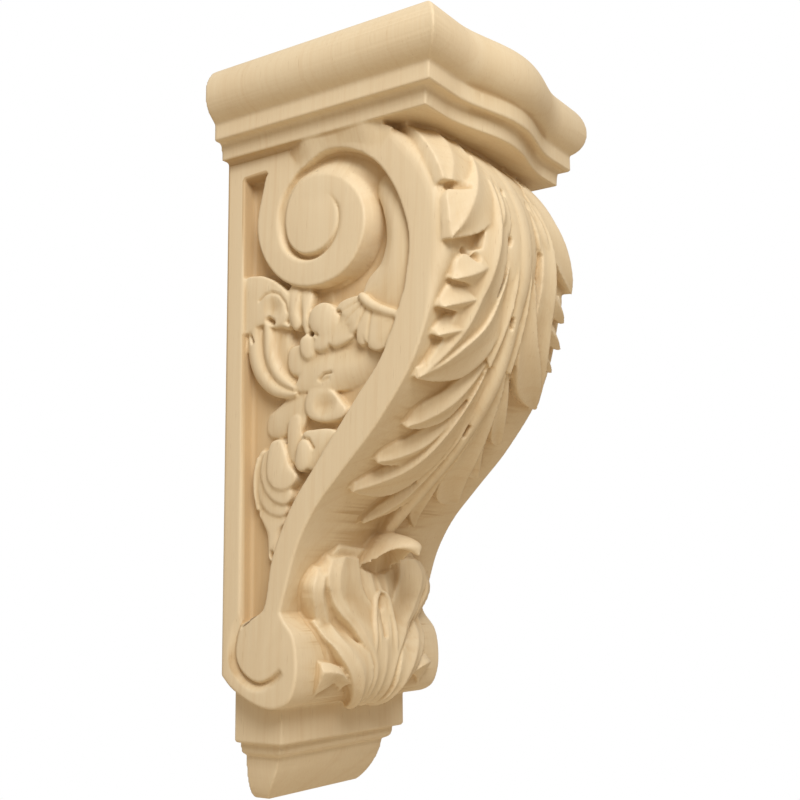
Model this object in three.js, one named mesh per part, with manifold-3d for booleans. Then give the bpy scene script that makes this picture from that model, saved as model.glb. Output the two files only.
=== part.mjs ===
// Carved wooden corbel bracket: a scrolled body with leaf carving under a moulded cap, on a stepped foot.
// Millimetres, +Z up. The wall is the plane Y = 0, the front faces -Y, and the origin is the middle of the back.
import * as THREE from "three";
import { mergeVertices } from "three/addons/utils/BufferGeometryUtils.js";
import Module from "manifold-3d";

const wasm = await Module();
wasm.setup();

// Driving sizes; depths count out from the wall, heights up from the underside of the foot
const height = 355.6;
const bodyWidth = 121.6;
const cap = { soffitOver: 4.6, coveOut: 1.5, coveHigh: 8.6, stepOut: 4.1, bandHigh: 8.8, noseOut: 12.9, noseHigh: 15.3 };
const capFront = { overScroll: -6.6, bow: 8.2, bowHalf: 50 };
const scroll = { radius: 59, belowTop: 100.6, fromWall: 68, sweepDeg: 112 };
const roll = { bottom: 44, high: 44.3, nose: 44.7 };
const block = { halfWidth: 50.4, depth: 28, bottom: 26.9 };
const fillet = { inX: 4.2, inY: 4.1, high: 6.3 };
const foot = { inX: 3.9, inY: 4, taperX: 7.3, taperY: 11.5 };
const recess = { depth: 8, stile: 11.5, railBelowCap: 10.7 };
const volute = { fromWall: 52, aboveScroll: 14, eyeRadius: 15.5, channel: 5 };
const rollLine = { depth: 2.6, width: 4.5 };
const edgeRound = 6.8;
const rootDeep = 2.5;
const lowerRootDeep = 12;

// Levels and half widths that follow
const halfBody = bodyWidth / 2;
const capHalf = halfBody + cap.soffitOver;
const bandHalf = capHalf + cap.coveOut + cap.stepOut;
const noseZ = height - cap.noseHigh;
const noseStart = -Math.acos((bandHalf - capHalf) / cap.noseOut);
const bandTop = noseZ + cap.noseHigh * Math.sin(noseStart);
const bandBottom = bandTop - cap.bandHigh;
const capBottom = bandBottom - cap.coveHigh;
const scrollZ = height - scroll.belowTop;
const cornerDepth = scroll.fromWall + scroll.radius + capFront.overScroll;
const neck = { depth: roll.nose - 10.7, z: roll.bottom + roll.high - 4 };
const groundHalf = halfBody - recess.depth;

// The carving keeps its proportions: its points are written at this height, half width and length of front
const drawn = { height: 355.6, half: 60.8, run: 284.4, lowerRun: 100.6, eye: 15.5, reliefDepth: 13 };

// Solids

function toSolid(geometry) {
  const bare = geometry.clone();
  bare.deleteAttribute("normal");
  bare.deleteAttribute("uv");
  const merged = mergeVertices(bare, 1e-4);
  const mesh = new wasm.Mesh({
    numProp: 3,
    vertProperties: new Float32Array(merged.attributes.position.array),
    triVerts: new Uint32Array(merged.index.array),
  });
  return new wasm.Manifold(mesh);
}

function toGeometry(solid) {
  const mesh = solid.getMesh();
  const geometry = new THREE.BufferGeometry();
  geometry.setAttribute("position", new THREE.BufferAttribute(mesh.vertProperties, 3));
  geometry.setIndex(new THREE.BufferAttribute(mesh.triVerts, 1));
  geometry.computeVertexNormals();
  return geometry;
}

// A closed solid through a row of rings of equal count, shut at both ends by a fan
function loft(rings) {
  const count = rings[0].length;
  const points = rings.flat();
  const faces = [];
  for (let i = 0; i + 1 < rings.length; i++) {
    for (let j = 0; j < count; j++) {
      const a = i * count + j;
      const b = i * count + ((j + 1) % count);
      faces.push(a, b, b + count, a, b + count, a + count);
    }
  }
  for (const start of [0, points.length - count]) {
    const middle = new THREE.Vector3();
    for (let j = 0; j < count; j++) middle.addScaledVector(points[start + j], 1 / count);
    const centre = points.push(middle) - 1;
    for (let j = 0; j < count; j++) {
      const a = start + j;
      const b = start + ((j + 1) % count);
      faces.push(...(start === 0 ? [centre, b, a] : [centre, a, b]));
    }
  }
  let volume = 0;
  for (let k = 0; k < faces.length; k += 3) {
    const [a, b, c] = [points[faces[k]], points[faces[k + 1]], points[faces[k + 2]]];
    volume += a.dot(b.clone().cross(c));
  }
  if (volume < 0) faces.reverse();
  const geometry = new THREE.BufferGeometry().setFromPoints(points);
  geometry.setIndex(faces);
  return toSolid(geometry);
}

const union = (solids) => solids.reduce((whole, next) => whole.add(next));
const shares = (count) => Array.from({ length: count + 1 }, (_, i) => i / count);
const mix = THREE.MathUtils.lerp;
const rise = THREE.MathUtils.smoothstep;

// A flat shape of (depth, height) points, run across the width from X = 0 out to a half width on one side
function runAcross(shape, side, inner, outer) {
  const geometry = new THREE.ExtrudeGeometry(shape, { depth: outer - inner, curveSegments: 4, bevelEnabled: false });
  const [out, up] = [new THREE.Vector3(0, -1, 0), new THREE.Vector3(0, 0, 1)];
  geometry.applyMatrix4(new THREE.Matrix4().makeBasis(out, up, new THREE.Vector3(-1, 0, 0)));
  geometry.translate(side > 0 ? outer : -inner, 0, 0);
  return toSolid(geometry);
}

// Curves of the front, as (depth, height)

const lerpBetween = (a, b, list) => list.map(([u, v]) => new THREE.Vector2(mix(a.x, b.x, u), mix(a.y, b.y, v)));

function frontCurve() {
  const path = new THREE.Path();
  const sweep = THREE.MathUtils.degToRad(scroll.sweepDeg);
  path.absarc(scroll.fromWall, scrollZ, scroll.radius, Math.PI / 2, Math.PI / 2 - sweep, true);
  const neckShares = [[0.143, 0.235], [0.369, 0.423], [0.594, 0.56], [0.763, 0.667], [0.876, 0.777], [0.944, 0.894]];
  const end = new THREE.Vector2(neck.depth, neck.z);
  path.splineThru([...lerpBetween(path.currentPoint.clone(), end, neckShares), end]);
  return path;
}

const rollPoint = (u, v) => new THREE.Vector2(roll.nose * u, roll.bottom + roll.high * v);

// The path that the lower leaf climbs, from its tip down over the nose of the roll
function lowerCurve() {
  const climb = [[1.32, 1.85], [1.19, 1.69], [1.07, 1.51], [1, 1.31], [0.96, 1.11], [0.97, 0.9], [1.01, 0.7]];
  const under = [[1.02, 0.52], [1.01, 0.36], [0.96, 0.21], [0.86, 0.07], [0.69, 0], [0.54, -0.01]];
  return new THREE.SplineCurve([...climb, ...under].map(([u, v]) => rollPoint(u, v)));
}

const front = frontCurve();
const lower = lowerCurve();

// A point over a curve of the front: across the width, along the curve, and lifted off it
function onCurve(at, tangentAt, across, share, lift) {
  const point = at(share);
  const tangent = tangentAt(share);
  const depth = point.x - tangent.y * lift;
  const z = point.y + tangent.x * lift;
  return new THREE.Vector3((across / drawn.half) * halfBody, -depth, z);
}

const clampShare = (v) => THREE.MathUtils.clamp(v, 0, 1);

function onFront(across, along, lift) {
  const share = clampShare(along / drawn.run);
  return onCurve((t) => front.getPoint(t), (t) => front.getTangent(t), across, share, lift);
}

function onLower(across, along, lift) {
  const share = clampShare(along / drawn.lowerRun);
  return onCurve((t) => lower.getPointAt(t), (t) => lower.getTangentAt(t), across, share, lift);
}

// A point over the sunk ground of one side: out from the wall, up, and lifted off the ground
function onSide(side) {
  return (depth, up, lift) => {
    const z = (up / drawn.height) * height;
    return new THREE.Vector3(side * (groundHalf + lift), -depth, z);
  };
}

// One carved lobe: a ridge along a spine, with a lift at its near edge, crest and far edge
function lobe(place, spine, widths, lifts, steps = 4) {
  const line = new THREE.SplineCurve(spine.map(([a, b]) => new THREE.Vector2(a, b)));
  const widthLine = new THREE.SplineCurve(widths.map((w, i) => new THREE.Vector2(i / (widths.length - 1), w)));
  const rings = shares(steps).map((t) => {
    const middle = line.getPoint(t);
    const tangent = line.getTangent(t);
    const half = Math.max(widthLine.getPoint(t).y, 0.4);
    const at = (side, lift) => place(middle.x - tangent.y * half * side, middle.y + tangent.x * half * side, lift);
    const [near, crest, far] = lifts;
    return [at(-1, -rootDeep), at(-1, near), at(0, crest), at(1, far), at(1, -rootDeep)];
  });
  return loft(rings);
}

// One leaf between its near and far edge, folded along a ridge; each line is (across, along, lift) points
function leaf(place, lines, side, steps = 3, root = rootDeep) {
  const curves = lines.map((points) => new THREE.CatmullRomCurve3(points.map((p) => new THREE.Vector3(...p))));
  curves.forEach((curve) => (curve.curveType = "catmullrom"));
  const rings = shares(steps).map((t) => {
    const [near, ridge, far] = curves.map((curve) => curve.getPoint(t));
    const at = (point, lift = point.z) => place(point.x * side, point.y, lift);
    return [at(near, -root), at(near), at(ridge), at(far), at(far, -root)];
  });
  return loft(rings);
}

// One flat-topped pad with a steep edge round an outline
function pad(place, outline, edge, crown) {
  const middle = outline.reduce(([a, b], [c, d]) => [a + c / outline.length, b + d / outline.length], [0, 0]);
  const ringAt = (share, lift) =>
    outline.map(([a, b]) => place(mix(middle[0], a, share), mix(middle[1], b, share), lift));
  return loft([ringAt(1, -rootDeep), ringAt(1, edge), ringAt(0.8, crown)]);
}

// The scrolled body between the cap and the roll, with the edges of its front eased round near the top
function scrolledBody() {
  const columns = [1, 0.98, 0.94, 0.89];
  const mirrored = [...columns, ...columns.map((c) => -c).reverse()];
  const rings = shares(20).map((t) => {
    const along = t * drawn.run;
    const round = edgeRound * rise(along, 10, 50) * (1 - rise(along, 95, 140)) + 0.4;
    const ring = mirrored.map((c) => {
      const into = Math.min(1, Math.max(0, Math.abs(c) * drawn.half - (drawn.half - round)) / round);
      return onFront(c * drawn.half, along, -round * (1 - Math.sqrt(1 - into * into)));
    });
    const z = front.getPoint(t).y;
    ring.push(new THREE.Vector3(-halfBody, 0, z), new THREE.Vector3(halfBody, 0, z));
    return ring;
  });
  return loft(rings);
}

// The roll at the foot of the scroll, across the full width
function lowerRoll() {
  const shape = new THREE.Shape();
  const back = rollPoint(0, 1.2);
  const start = rollPoint(0, 0.32);
  shape.moveTo(back.x, back.y);
  shape.lineTo(start.x, start.y);
  const round = [[0.157, 0.18], [0.447, 0.04], [0.694, 0], [0.895, 0.08], [0.985, 0.27], [1, 0.5], [0.95, 0.745]];
  shape.splineThru([...round, [0.8, 0.94], [0.7, 1.2]].map(([u, v]) => rollPoint(u, v)));
  return runAcross(shape, 1, -halfBody, halfBody);
}

// The cap: a cove, a square band and a bullnose, mitred round a front that bows out in the middle
function mouldedCap() {
  const noseSteps = 7;
  const levels = [
    [capHalf, capBottom],
    [capHalf + cap.coveOut * 0.35, mix(capBottom, bandBottom, 0.6)],
    [capHalf + cap.coveOut, bandBottom],
    [bandHalf, bandBottom],
    [bandHalf, bandTop],
  ];
  for (const t of shares(noseSteps).slice(1)) {
    const turn = mix(noseStart, Math.PI / 2, t);
    levels.push([capHalf + cap.noseOut * Math.cos(turn), noseZ + cap.noseHigh * Math.sin(turn)]);
  }
  const rings = levels.map(([half, z]) => {
    const corner = cornerDepth + half - capHalf;
    const ring = shares(16).map((t) => {
      const x = mix(-half, half, t);
      const bow = Math.abs(x) < capFront.bowHalf ? 0.5 + 0.5 * Math.cos((Math.PI * x) / capFront.bowHalf) : 0;
      return new THREE.Vector3(x, -corner - capFront.bow * bow, z);
    });
    ring.push(new THREE.Vector3(half, 0, z), new THREE.Vector3(-half, 0, z));
    return ring;
  });
  return loft(rings);
}

// The square block, its fillet and the rounded foot, cut flush with the wall
function steppedFoot() {
  const filletHalf = block.halfWidth - fillet.inX;
  const filletDepth = block.depth - fillet.inY;
  const footTop = { half: filletHalf - foot.inX, depth: filletDepth - foot.inY, z: block.bottom - fillet.high };
  const levels = [
    [block.halfWidth, block.depth, roll.bottom + roll.high / 2],
    [block.halfWidth, block.depth, block.bottom],
    [filletHalf, filletDepth, block.bottom],
    [filletHalf - foot.inX * 0.15, filletDepth - foot.inY * 0.15, mix(footTop.z, block.bottom, 0.45)],
    [footTop.half, footTop.depth, footTop.z],
  ];
  for (const t of shares(5).slice(1)) {
    const turn = (t * Math.PI) / 2;
    const half = footTop.half - foot.taperX * (1 - Math.cos(turn));
    levels.push([half, footTop.depth - foot.taperY * Math.sin(turn) ** 1.7, footTop.z * (1 - Math.sin(turn))]);
  }
  const rings = levels.map(([half, depth, z]) => [
    new THREE.Vector3(-half, 0, z),
    new THREE.Vector3(-half, -depth, z),
    new THREE.Vector3(half, -depth, z),
    new THREE.Vector3(half, 0, z),
  ]);
  return loft(rings);
}

// A point of the side in the drawing's heights, as (depth, height)
const sideAt = ([depth, up]) => new THREE.Vector2(depth, (up / drawn.height) * height);

// A point round the volute, from its turn in degrees, its radius in the drawing and how far it stands off the side
function roundVolute(side, degrees, radius, lift) {
  const turn = THREE.MathUtils.degToRad(degrees);
  const reach = (radius * volute.eyeRadius) / drawn.eye;
  const z = scrollZ + volute.aboveScroll + reach * Math.sin(turn);
  return new THREE.Vector3(side * (halfBody + lift), -volute.fromWall - reach * Math.cos(turn), z);
}

// The sunk panel between the stile, the volute and the inner edge of the scroll
function panelCut(side) {
  const top = capBottom - recess.railBelowCap;
  const disc = [[134, 40], [150, 35.5], [180, 33], [210, 31.3], [240, 31.2], [270, 31.8], [296, 33.4], [318, 36.4]];
  const upper = [[104.8, 240], [104, 232], [100, 218], [91, 199], [78, 183], [66, 168], [54, 153], [43, 139]];
  const arm = [...upper, [35, 125], [29, 110], [25, 90], [17, 85]].map(sideAt);
  const shape = new THREE.Shape();
  shape.moveTo(recess.stile, sideAt([recess.stile, 82]).y);
  shape.lineTo(recess.stile, top);
  shape.lineTo(recess.stile + 16, top);
  for (const [degrees, radius] of disc) {
    const point = roundVolute(side, degrees, radius, 0);
    shape.lineTo(-point.y, point.z);
  }
  shape.lineTo(arm[0].x, arm[0].y);
  shape.splineThru(arm.slice(1));
  return runAcross(shape, side, groundHalf, halfBody + cap.soffitOver + rootDeep);
}

// The groove that winds out from the eye of the volute and ends as the deep channel under the scroll. Each row has
// a turn in degrees, the radii of its inner edge, floor and outer edge, and the depths by its inner and outer wall
function channelCut(side) {
  const eye = [[20, 15.6, 16.2, 18.5, 0.7, 0.1], [-20, 15.6, 16.2, 19, 1, 0.2], [-60, 15.4, 16, 19.4, 2.8, 0.3]];
  const crescent = [[-90, 15.2, 15.8, 19.6, 4.6, 0.3], [-120, 15.2, 15.8, 19.6, 5, 0.3], [-150, 14.8, 15.5, 19.8, 3.8, 0.4]];
  const back = [[-180, 14.8, 15.6, 20, 2.2, 0.6], [-210, 16.6, 17.4, 22, 1.6, 1.2], [-240, 19.8, 21, 24.6, 0.9, 2.4]];
  const head = [[-255, 21.2, 22.6, 27, 0.7, 3.2], [-270, 22, 23.4, 28.9, 0.6, 4], [-284, 22.8, 25, 33, 1, 5]];
  const widening = [[-299, 23.8, 27.4, 36.6, 1.8, 5.5], [-315, 25.5, 30.6, 40, 3.4, 6.5], [-331, 27.4, 32.8, 43.4, 6.2, 8.5]];
  const channel = [[-346, 29.6, 34.4, 46.6, 9, 10.4], [-362, 31.4, 35.2, 51.4, 11.4, 12], [-377, 32.6, 35.6, 57.4, 12.8, 12.8]];
  const end = [[-390, 33, 35.8, 62, 13, 13], [-404, 33.2, 35.8, 67, 12.4, 13], [-420, 32.8, 35.2, 58, 10.6, 11.6]];
  const rows = [...eye, ...crescent, ...back, ...head, ...widening, ...channel, ...end, [-438, 32, 33.6, 44, 8.2, 8.4]];
  const deeper = (recess.depth + volute.channel) / drawn.reliefDepth;
  const clear = cap.soffitOver + rootDeep;
  const rings = rows.map(([degrees, inner, floor, outer, near, far]) => {
    const corners = [[inner - 0.3, clear], [inner, -0.1], [floor, -near * deeper], [outer, -far * deeper], [outer + 0.8, clear]];
    return corners.map(([radius, lift]) => roundVolute(side, degrees, radius, lift));
  });
  return loft(rings);
}

// The sunk line that curls round the eye of the roll
function rollCut(side) {
  const points = [[26, 88], [17, 85], [12, 81.5], [9.5, 75], [8.8, 68], [11, 62.5], [16, 58], [22, 56], [28, 57.5], [34, 61.6]];
  const scaled = points.map(([d, z]) => rollPoint(d / 44.7, (z - 44) / 44.3));
  const line = new THREE.SplineCurve(scaled);
  const rings = shares(10).map((t) => {
    const middle = line.getPoint(t);
    const tangent = line.getTangent(t);
    const deep = rollLine.depth * (0.15 + 0.85 * Math.sin(Math.PI * Math.min(1, t * 0.95 + 0.02)));
    const corners = [[-0.2, rootDeep], [0, -0.1], [0.6, -deep], [rollLine.width, -0.1], [rollLine.width + 1.5, rootDeep]];
    return corners.map(([away, lift]) => {
      const [depth, z] = [middle.x + tangent.y * away, middle.y - tangent.x * away];
      return new THREE.Vector3(side * (halfBody + lift), -depth, z);
    });
  });
  return loft(rings);
}

// The head of the scroll swells out to meet the cove flush
function scrollShoulder(side) {
  const rings = [60, 74, 89, 104, 119].map((degrees) => {
    const turn = THREE.MathUtils.degToRad(degrees);
    const swell = cap.soffitOver * rise(degrees, 58, 74) * (1 - rise(degrees, 104, 120));
    const profile = [[40, -2], [41, 0.05 * swell], [48, 0.3 * swell], [54, 0.75 * swell], [58.5, swell], [59, -2]];
    return profile.map(([reach, lift]) => {
      const radius = (reach / 59) * scroll.radius;
      const depth = scroll.fromWall + radius * Math.cos(turn);
      return new THREE.Vector3(side * (halfBody + lift), -depth, scrollZ + radius * Math.sin(turn));
    });
  });
  return loft(rings);
}

// The foliage of one side: pads with an outline, the lift of their edge and of their crown, and ridges along a spine
function sideFoliage(side) {
  const place = onSide(side);
  const pads = [
    // the plain curl under the volute, its disc and the tongues beside it
    [[[19, 231], [21, 237], [28, 240.5], [35, 238.5], [38.5, 231], [36, 224], [30, 221], [23, 222]], 3.5, 5.5],
    [[[21, 231], [23, 235.5], [28, 237.3], [33, 236], [36.2, 230], [34, 225], [28, 223], [22.5, 225.5]], 5.2, 7.2],
    [[[37.6, 236], [37.3, 226], [39, 221.5], [41.8, 218.2], [44.8, 220.5], [45.3, 228], [45, 237]], 5, 7],
    [[[45.5, 236], [45.5, 224], [46.2, 219], [48.4, 215.3], [50.6, 217.5], [50.8, 225], [51.5, 234]], 4.6, 6.6],
    // the scalloped leaf in the middle
    [[[53, 214], [52.6, 209.6], [54.5, 207], [58, 206], [61.4, 207], [62.8, 208.6], [65, 207], [70, 207.6], [74, 211],
      [69, 217], [60, 218]], 5.6, 7.4],
    [[[50.7, 222], [52, 227], [58, 229.2], [65, 227.2], [68, 222], [67.5, 215], [61, 211.5], [56, 213.6], [52.5, 217.5]],
      6.2, 8.4],
    // the husk with its scallops
    [[[79.5, 229.8], [70, 228.4], [66.8, 225.5], [66.6, 223.6], [68.6, 222.6], [68.4, 217.8], [71.6, 217.9],
      [72.2, 211.8], [77.8, 212], [79.5, 206.4], [83.6, 206.6], [84.6, 208.5], [86, 203.6], [90, 200.7], [94.5, 203],
      [97, 209], [99, 217], [88, 221]], 6.2, 8],
    // the big leaf, its scoop and the piece behind them
    [[[37, 209], [41, 211.3], [46, 214.2], [49, 215], [54, 208], [62, 206.3], [72, 208.5], [80, 209], [87, 203],
      [84, 196], [77, 190.5], [69, 187.6], [52, 188.2], [44, 188.4], [40.4, 190.6], [42, 194.8], [39, 197.6], [36.4, 202]],
      5.6, 8.4],
    [[[28, 183], [38, 188], [47, 188], [47, 178], [43, 169.6], [36, 170], [31, 168.4], [25, 168.6], [21, 172], [22, 179]],
      1.6, 4.8],
    [[[50, 189], [47.2, 185], [46.9, 180], [49, 176.2], [54, 173.9], [61, 173.2], [68, 174.4], [70.5, 178], [66, 181.5],
      [62, 186], [56, 190]], 6, 8],
    // the curl against the scroll
    [[[46, 168.6], [53, 170.2], [62, 169.8], [66.5, 167], [63, 161], [57, 155.5], [51, 151.5], [46, 156]], 4.4, 6],
    [[[42, 160], [44, 164.6], [48, 166.2], [52, 164], [53, 159], [50.6, 153.4], [46, 151.8], [42.4, 154.6]], 6, 8],
    [[[35.8, 171], [36, 163], [37.5, 158], [40.4, 155.4], [44, 157.8], [45, 163], [44.6, 170], [43, 178], [38, 177]],
      5.6, 7.4],
    // the shingled leaf at the foot of the panel
    [[[18, 134], [22.4, 124.6], [24, 112.4], [26, 110.4], [28.2, 113.4], [31.2, 125.4], [34, 129], [33.5, 133.5],
      [26, 137]], 2.4, 4],
    [[[18, 163], [15.6, 156], [15.2, 147], [16.2, 139], [18.4, 132.4], [21, 134], [20.5, 142], [20, 151], [22, 161]],
      2.2, 4.4],
    [[[18.6, 158], [17.4, 148], [20.6, 136.9], [24, 133.4], [28.5, 131.7], [33.6, 131.3], [36.4, 135], [33, 142],
      [26, 150], [24, 159]], 4.2, 5.2],
    [[[22, 162], [20, 153], [21.3, 147], [24, 142.6], [28, 138.9], [36.6, 136.8], [39.6, 141], [37, 148], [31, 156],
      [28, 163]], 5.2, 6.2],
    [[[27, 166], [25, 158], [25, 150.6], [27, 146.4], [30.6, 143.8], [36, 143], [40.4, 145], [43, 149.5], [38.4, 155],
      [36, 161], [33, 167]], 6.2, 7.4],
  ];
  const ridges = [
    // the collar of the husk and the crescents at the left
    [[[80.5, 230], [83.5, 226.5], [88, 222.6], [94, 220], [101, 217.6]], [2.2, 2.6, 2.6, 2.3, 2], [7, 9.6, 7]],
    [[[15, 223], [14.8, 214], [16.4, 206], [20, 198.6], [26, 192.6], [33, 188.8], [42, 188]], [2.2, 2.8, 3, 1.4], [4.4, 6.4, 3]],
    [[[25, 226], [24.6, 217], [25.4, 209], [28, 201.6], [33, 195.4], [41, 191]], [4, 5, 4.4, 2.4], [2.8, 7.4, 4.6]],
  ];
  return [
    ...pads.map(([outline, edge, crown]) => pad(place, outline, edge, crown)),
    ...ridges.map(([spine, widths, lifts]) => lobe(place, spine, widths, lifts, spine.length - 1)),
  ];
}

// A strip that runs down the middle of the front over rows of (along, half width, lift), with a profile across it
function strip(rows, profile) {
  const rings = rows.map(([along, half, lift]) => {
    const ring = profile.map(([u, share]) => onFront(u * half, along, lift * share));
    ring.push(onFront(half, along, -rootDeep), onFront(-half, along, -rootDeep));
    return ring;
  });
  return loft(rings);
}

// The hanging leaf of the front: a smooth blade with a rib, and toothed petals and folded lobes that fan out from it
function frontLeaf() {
  const blade = [[0, 54, 4], [20, 54, 7], [40, 52, 8], [55, 44, 8.3], [70, 26, 8.3], [120, 10, 7], [200, 6, 5.5], [244, 3, 4]];
  const rib = [[20, 12, 8], [60, 10, 10], [90, 7, 10.5], [180, 5, 9.5], [225, 4, 8], [246, 2.5, 5]];
  const leaves = [
    // the shoulder, the first fold and the small lip beside it
    [[[40, 6, 3], [52, 30, 4], [58, 50, 3.5], [60, 71, 2.5]],
      [[28, 8, 7], [38, 35, 8], [46, 55, 7], [56, 71.5, 4]],
      [[16, 12, 8], [24, 40, 8.5], [32, 60, 7.5], [43, 71, 6]]],
    [[[40, 68, 4], [57, 75, 1.5], [60, 86, 1.5], [60, 96, 2.5]],
      [[26, 50, 9], [42, 73, 9], [53, 88, 6.5], [60, 97, 3.5]],
      [[18, 60, 8.5], [26, 78, 7.5], [38, 90, 6], [60, 98, 3.2]]],
    [[[20, 66, 8], [27, 78, 7.5], [30, 89, 5.5]], [[16, 66, 9.5], [20, 78, 9.5], [28, 91, 7]],
      [[11, 70, 9], [13, 80, 8.5], [28, 92, 6.5]]],
    // the three teeth and the second fold
    [[[20, 90, 7], [36, 96, 5], [50, 103, 2], [53, 111, 2]],
      [[16, 94, 8.5], [30, 103, 8], [44, 109, 6.5], [54, 113, 5]],
      [[14, 102, 7.5], [24, 109, 7], [38, 112.5, 6], [54, 113.5, 4.8]]],
    [[[16, 104, 6], [34, 109, 3], [50, 114, 1.5], [57, 124, 1.5]],
      [[15, 106, 7.5], [32, 116, 7.5], [46, 122, 6.5], [57, 126, 5]],
      [[13, 112, 7], [28, 121, 6.5], [42, 125.5, 5.5], [57, 126.5, 4.8]]],
    [[[14, 112, 6], [32, 121, 3], [48, 128, 1.5], [55, 136, 1.5]],
      [[14, 115, 7.5], [30, 128, 7.5], [44, 134, 6.5], [55, 138, 5]],
      [[13, 122, 7], [26, 132, 6.5], [40, 137.5, 5.5], [55, 138.5, 4.8]]],
    [[[12, 116, 6], [30, 134, 4], [46, 142, 2], [56, 154, 2]],
      [[12, 100, 9], [24, 125, 9.5], [40, 142, 8.5], [56, 157, 4.5]],
      [[8, 108, 8.5], [12, 135, 8], [24, 150, 6.5], [56, 158, 4]]],
    [[[10, 96, 7], [11, 120, 7], [14, 140, 6.5]], [[6, 96, 10], [7, 120, 10], [10, 145, 8]],
      [[2, 98, 9], [3, 122, 8], [5, 143, 7]]],
    // the two lower teeth, the third fold and the last
    [[[10, 140, 6], [28, 158, 3], [40, 170, 1], [43, 178, 1.5]],
      [[9, 145, 8], [24, 162, 7.5], [36, 174, 6], [44, 180, 4.5]],
      [[8, 152, 7.5], [20, 170, 6.5], [32, 179, 5], [44, 181, 4]]],
    [[[10, 158, 6], [28, 180, 2.5], [42, 192, 1], [46, 198, 1.5]],
      [[9, 160, 8], [24, 183, 7.5], [36, 194, 6], [46, 200, 4.5]],
      [[8, 170, 7], [20, 192, 6], [34, 200, 5], [46, 201, 4]]],
    [[[9, 170, 6], [24, 192, 3], [38, 206, 1.5], [47, 215, 2]],
      [[8, 142, 9], [18, 178, 9], [28, 200, 8.5], [47, 218, 4]],
      [[5, 150, 8.5], [7, 185, 8], [12, 208, 6.5], [47, 219, 3.5]]],
    [[[8, 205, 5], [14, 218, 4], [20, 228, 2], [23, 234, 2]],
      [[5, 195, 8], [10, 215, 8], [16, 228, 6], [23, 236, 3.5]],
      [[2, 200, 7.5], [4, 215, 7], [8, 227, 5], [23, 236.5, 3]]],
  ];
  const bladeProfile = [[-1, 0], [-0.6, 0.78], [0, 1], [0.6, 0.78], [1, 0]];
  const ribProfile = [[-1, 0.65], [-0.5, 0.95], [0.5, 0.95], [1, 0.65]];
  const paired = leaves.flatMap((lines) => [1, -1].map((side) => leaf(onFront, lines, side)));
  return [strip(blade, bladeProfile), strip(rib, ribProfile), ...paired];
}

// The leaf that climbs over the roll, with its middle tip curled out to the front
function lowerLeaf() {
  const leaves = [
    [[[33, 17, -3], [33, 28, -0.5], [31, 40, 1.5], [24, 50, 2.5], [15, 57, 4], [9, 67, 4.5], [10, 86, 3]],
      [[26, 14, -0.5], [26, 28, 4], [24, 39, 7], [18, 50, 8.5], [11, 59, 8.5], [7, 70, 8], [8, 88, 5]],
      [[11, 17, -1], [11, 30, 3], [10, 44, 5], [7, 56, 5.5], [5, 64, 5.5], [4, 74, 5.5], [4, 89, 4]]],
    [[[41, 25, -4], [43, 34, -1.5], [42, 46, 0.5], [37, 56, 1.5], [30, 64, 2.5], [23, 73, 3], [19, 88, 1.5]],
      [[38, 22, -2], [39, 34, 2.5], [38, 45, 5], [32, 55, 6.5], [25, 64, 7.5], [18, 74, 7.5], [15, 89, 4]],
      [[32, 24, -3.5], [31, 35, -2], [29, 45, -0.5], [23, 55, 0.5], [15, 64, 2.5], [10, 75, 3.5], [9, 90, 2.5]]],
    [[[45, 66, 1], [40, 66.5, 2.5], [33, 69, 3], [25, 73, 2.5]],
      [[46, 70, 4], [40, 70, 6], [33, 71.5, 6], [25, 75.5, 5]],
      [[44, 82, 1], [39, 78, 3], [33, 75, 2], [25, 80, 1.5]]],
    [[[10, 22, 1], [13, 36, 3], [13, 50, 3.5], [11, 64, 4], [8, 88, 3]],
      [[5, 26, 4.5], [7.5, 36, 8], [8.5, 50, 8.5], [7, 66, 8.5], [5, 90, 5]],
      [[-0.5, 28, 3.5], [-0.5, 38, 5], [-0.5, 50, 5.5], [-0.5, 66, 6.5], [-0.5, 91, 4.5]]],
  ];
  const paired = leaves.flatMap((lines) => [1, -1].map((side) => leaf(onLower, lines, side, 5, lowerRootDeep)));
  const backing = [[10, 30, -5], [24, 42, -3], [75, 42, -2.5]].map(([along, half, lift]) => {
    const corners = [[-half, lift], [half, lift], [half, lift - lowerRootDeep], [-half, lift - lowerRootDeep]];
    return corners.map(([across, at]) => onLower(across, along, at));
  });
  // The tip: depth, height, half width, half thickness and how far its sides droop
  const tip = [[38, 121, 13, 6, 10], [48, 122.5, 14, 4, 11], [56, 122, 13, 3.2, 10], [63, 120, 11, 2.8, 7.5]];
  const nose = [[68.5, 117.5, 8, 2.6, 4.5], [71.5, 115, 4.5, 2.2, 2], [72.8, 113.8, 1.5, 1, 0]];
  const rings = [...tip, ...nose].map(([depth, up, half, thick, droop]) =>
    shares(8).slice(1).map((t) => {
      const [x, lift] = [Math.cos(2 * Math.PI * t), Math.sin(2 * Math.PI * t)];
      return new THREE.Vector3(x * half, -depth, ((up + thick * lift - droop * x * x) / drawn.height) * height);
    }),
  );
  return [...paired, loft(backing), loft(rings)];
}

function corbel() {
  const sides = [1, -1];
  const core = union([mouldedCap(), scrolledBody(), lowerRoll(), steppedFoot(), ...sides.map(scrollShoulder)]);
  const cuts = union(sides.flatMap((side) => [panelCut(side), channelCut(side), rollCut(side)]));
  return union([core.subtract(cuts), ...sides.flatMap(sideFoliage), ...frontLeaf(), ...lowerLeaf()]);
}

const wood = new THREE.MeshStandardMaterial({ color: 0xdec8a0, roughness: 0.62, metalness: 0 });

const bracket = new THREE.Group();
const mesh = new THREE.Mesh(toGeometry(corbel()), wood);
mesh.name = "corbel";
bracket.add(mesh);
bracket.position.z = -height / 2;

export default bracket;
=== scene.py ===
"""Carved wooden corbel bracket: the block with its mouldings, volutes and leaf carving, in bare sanded wood."""

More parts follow.
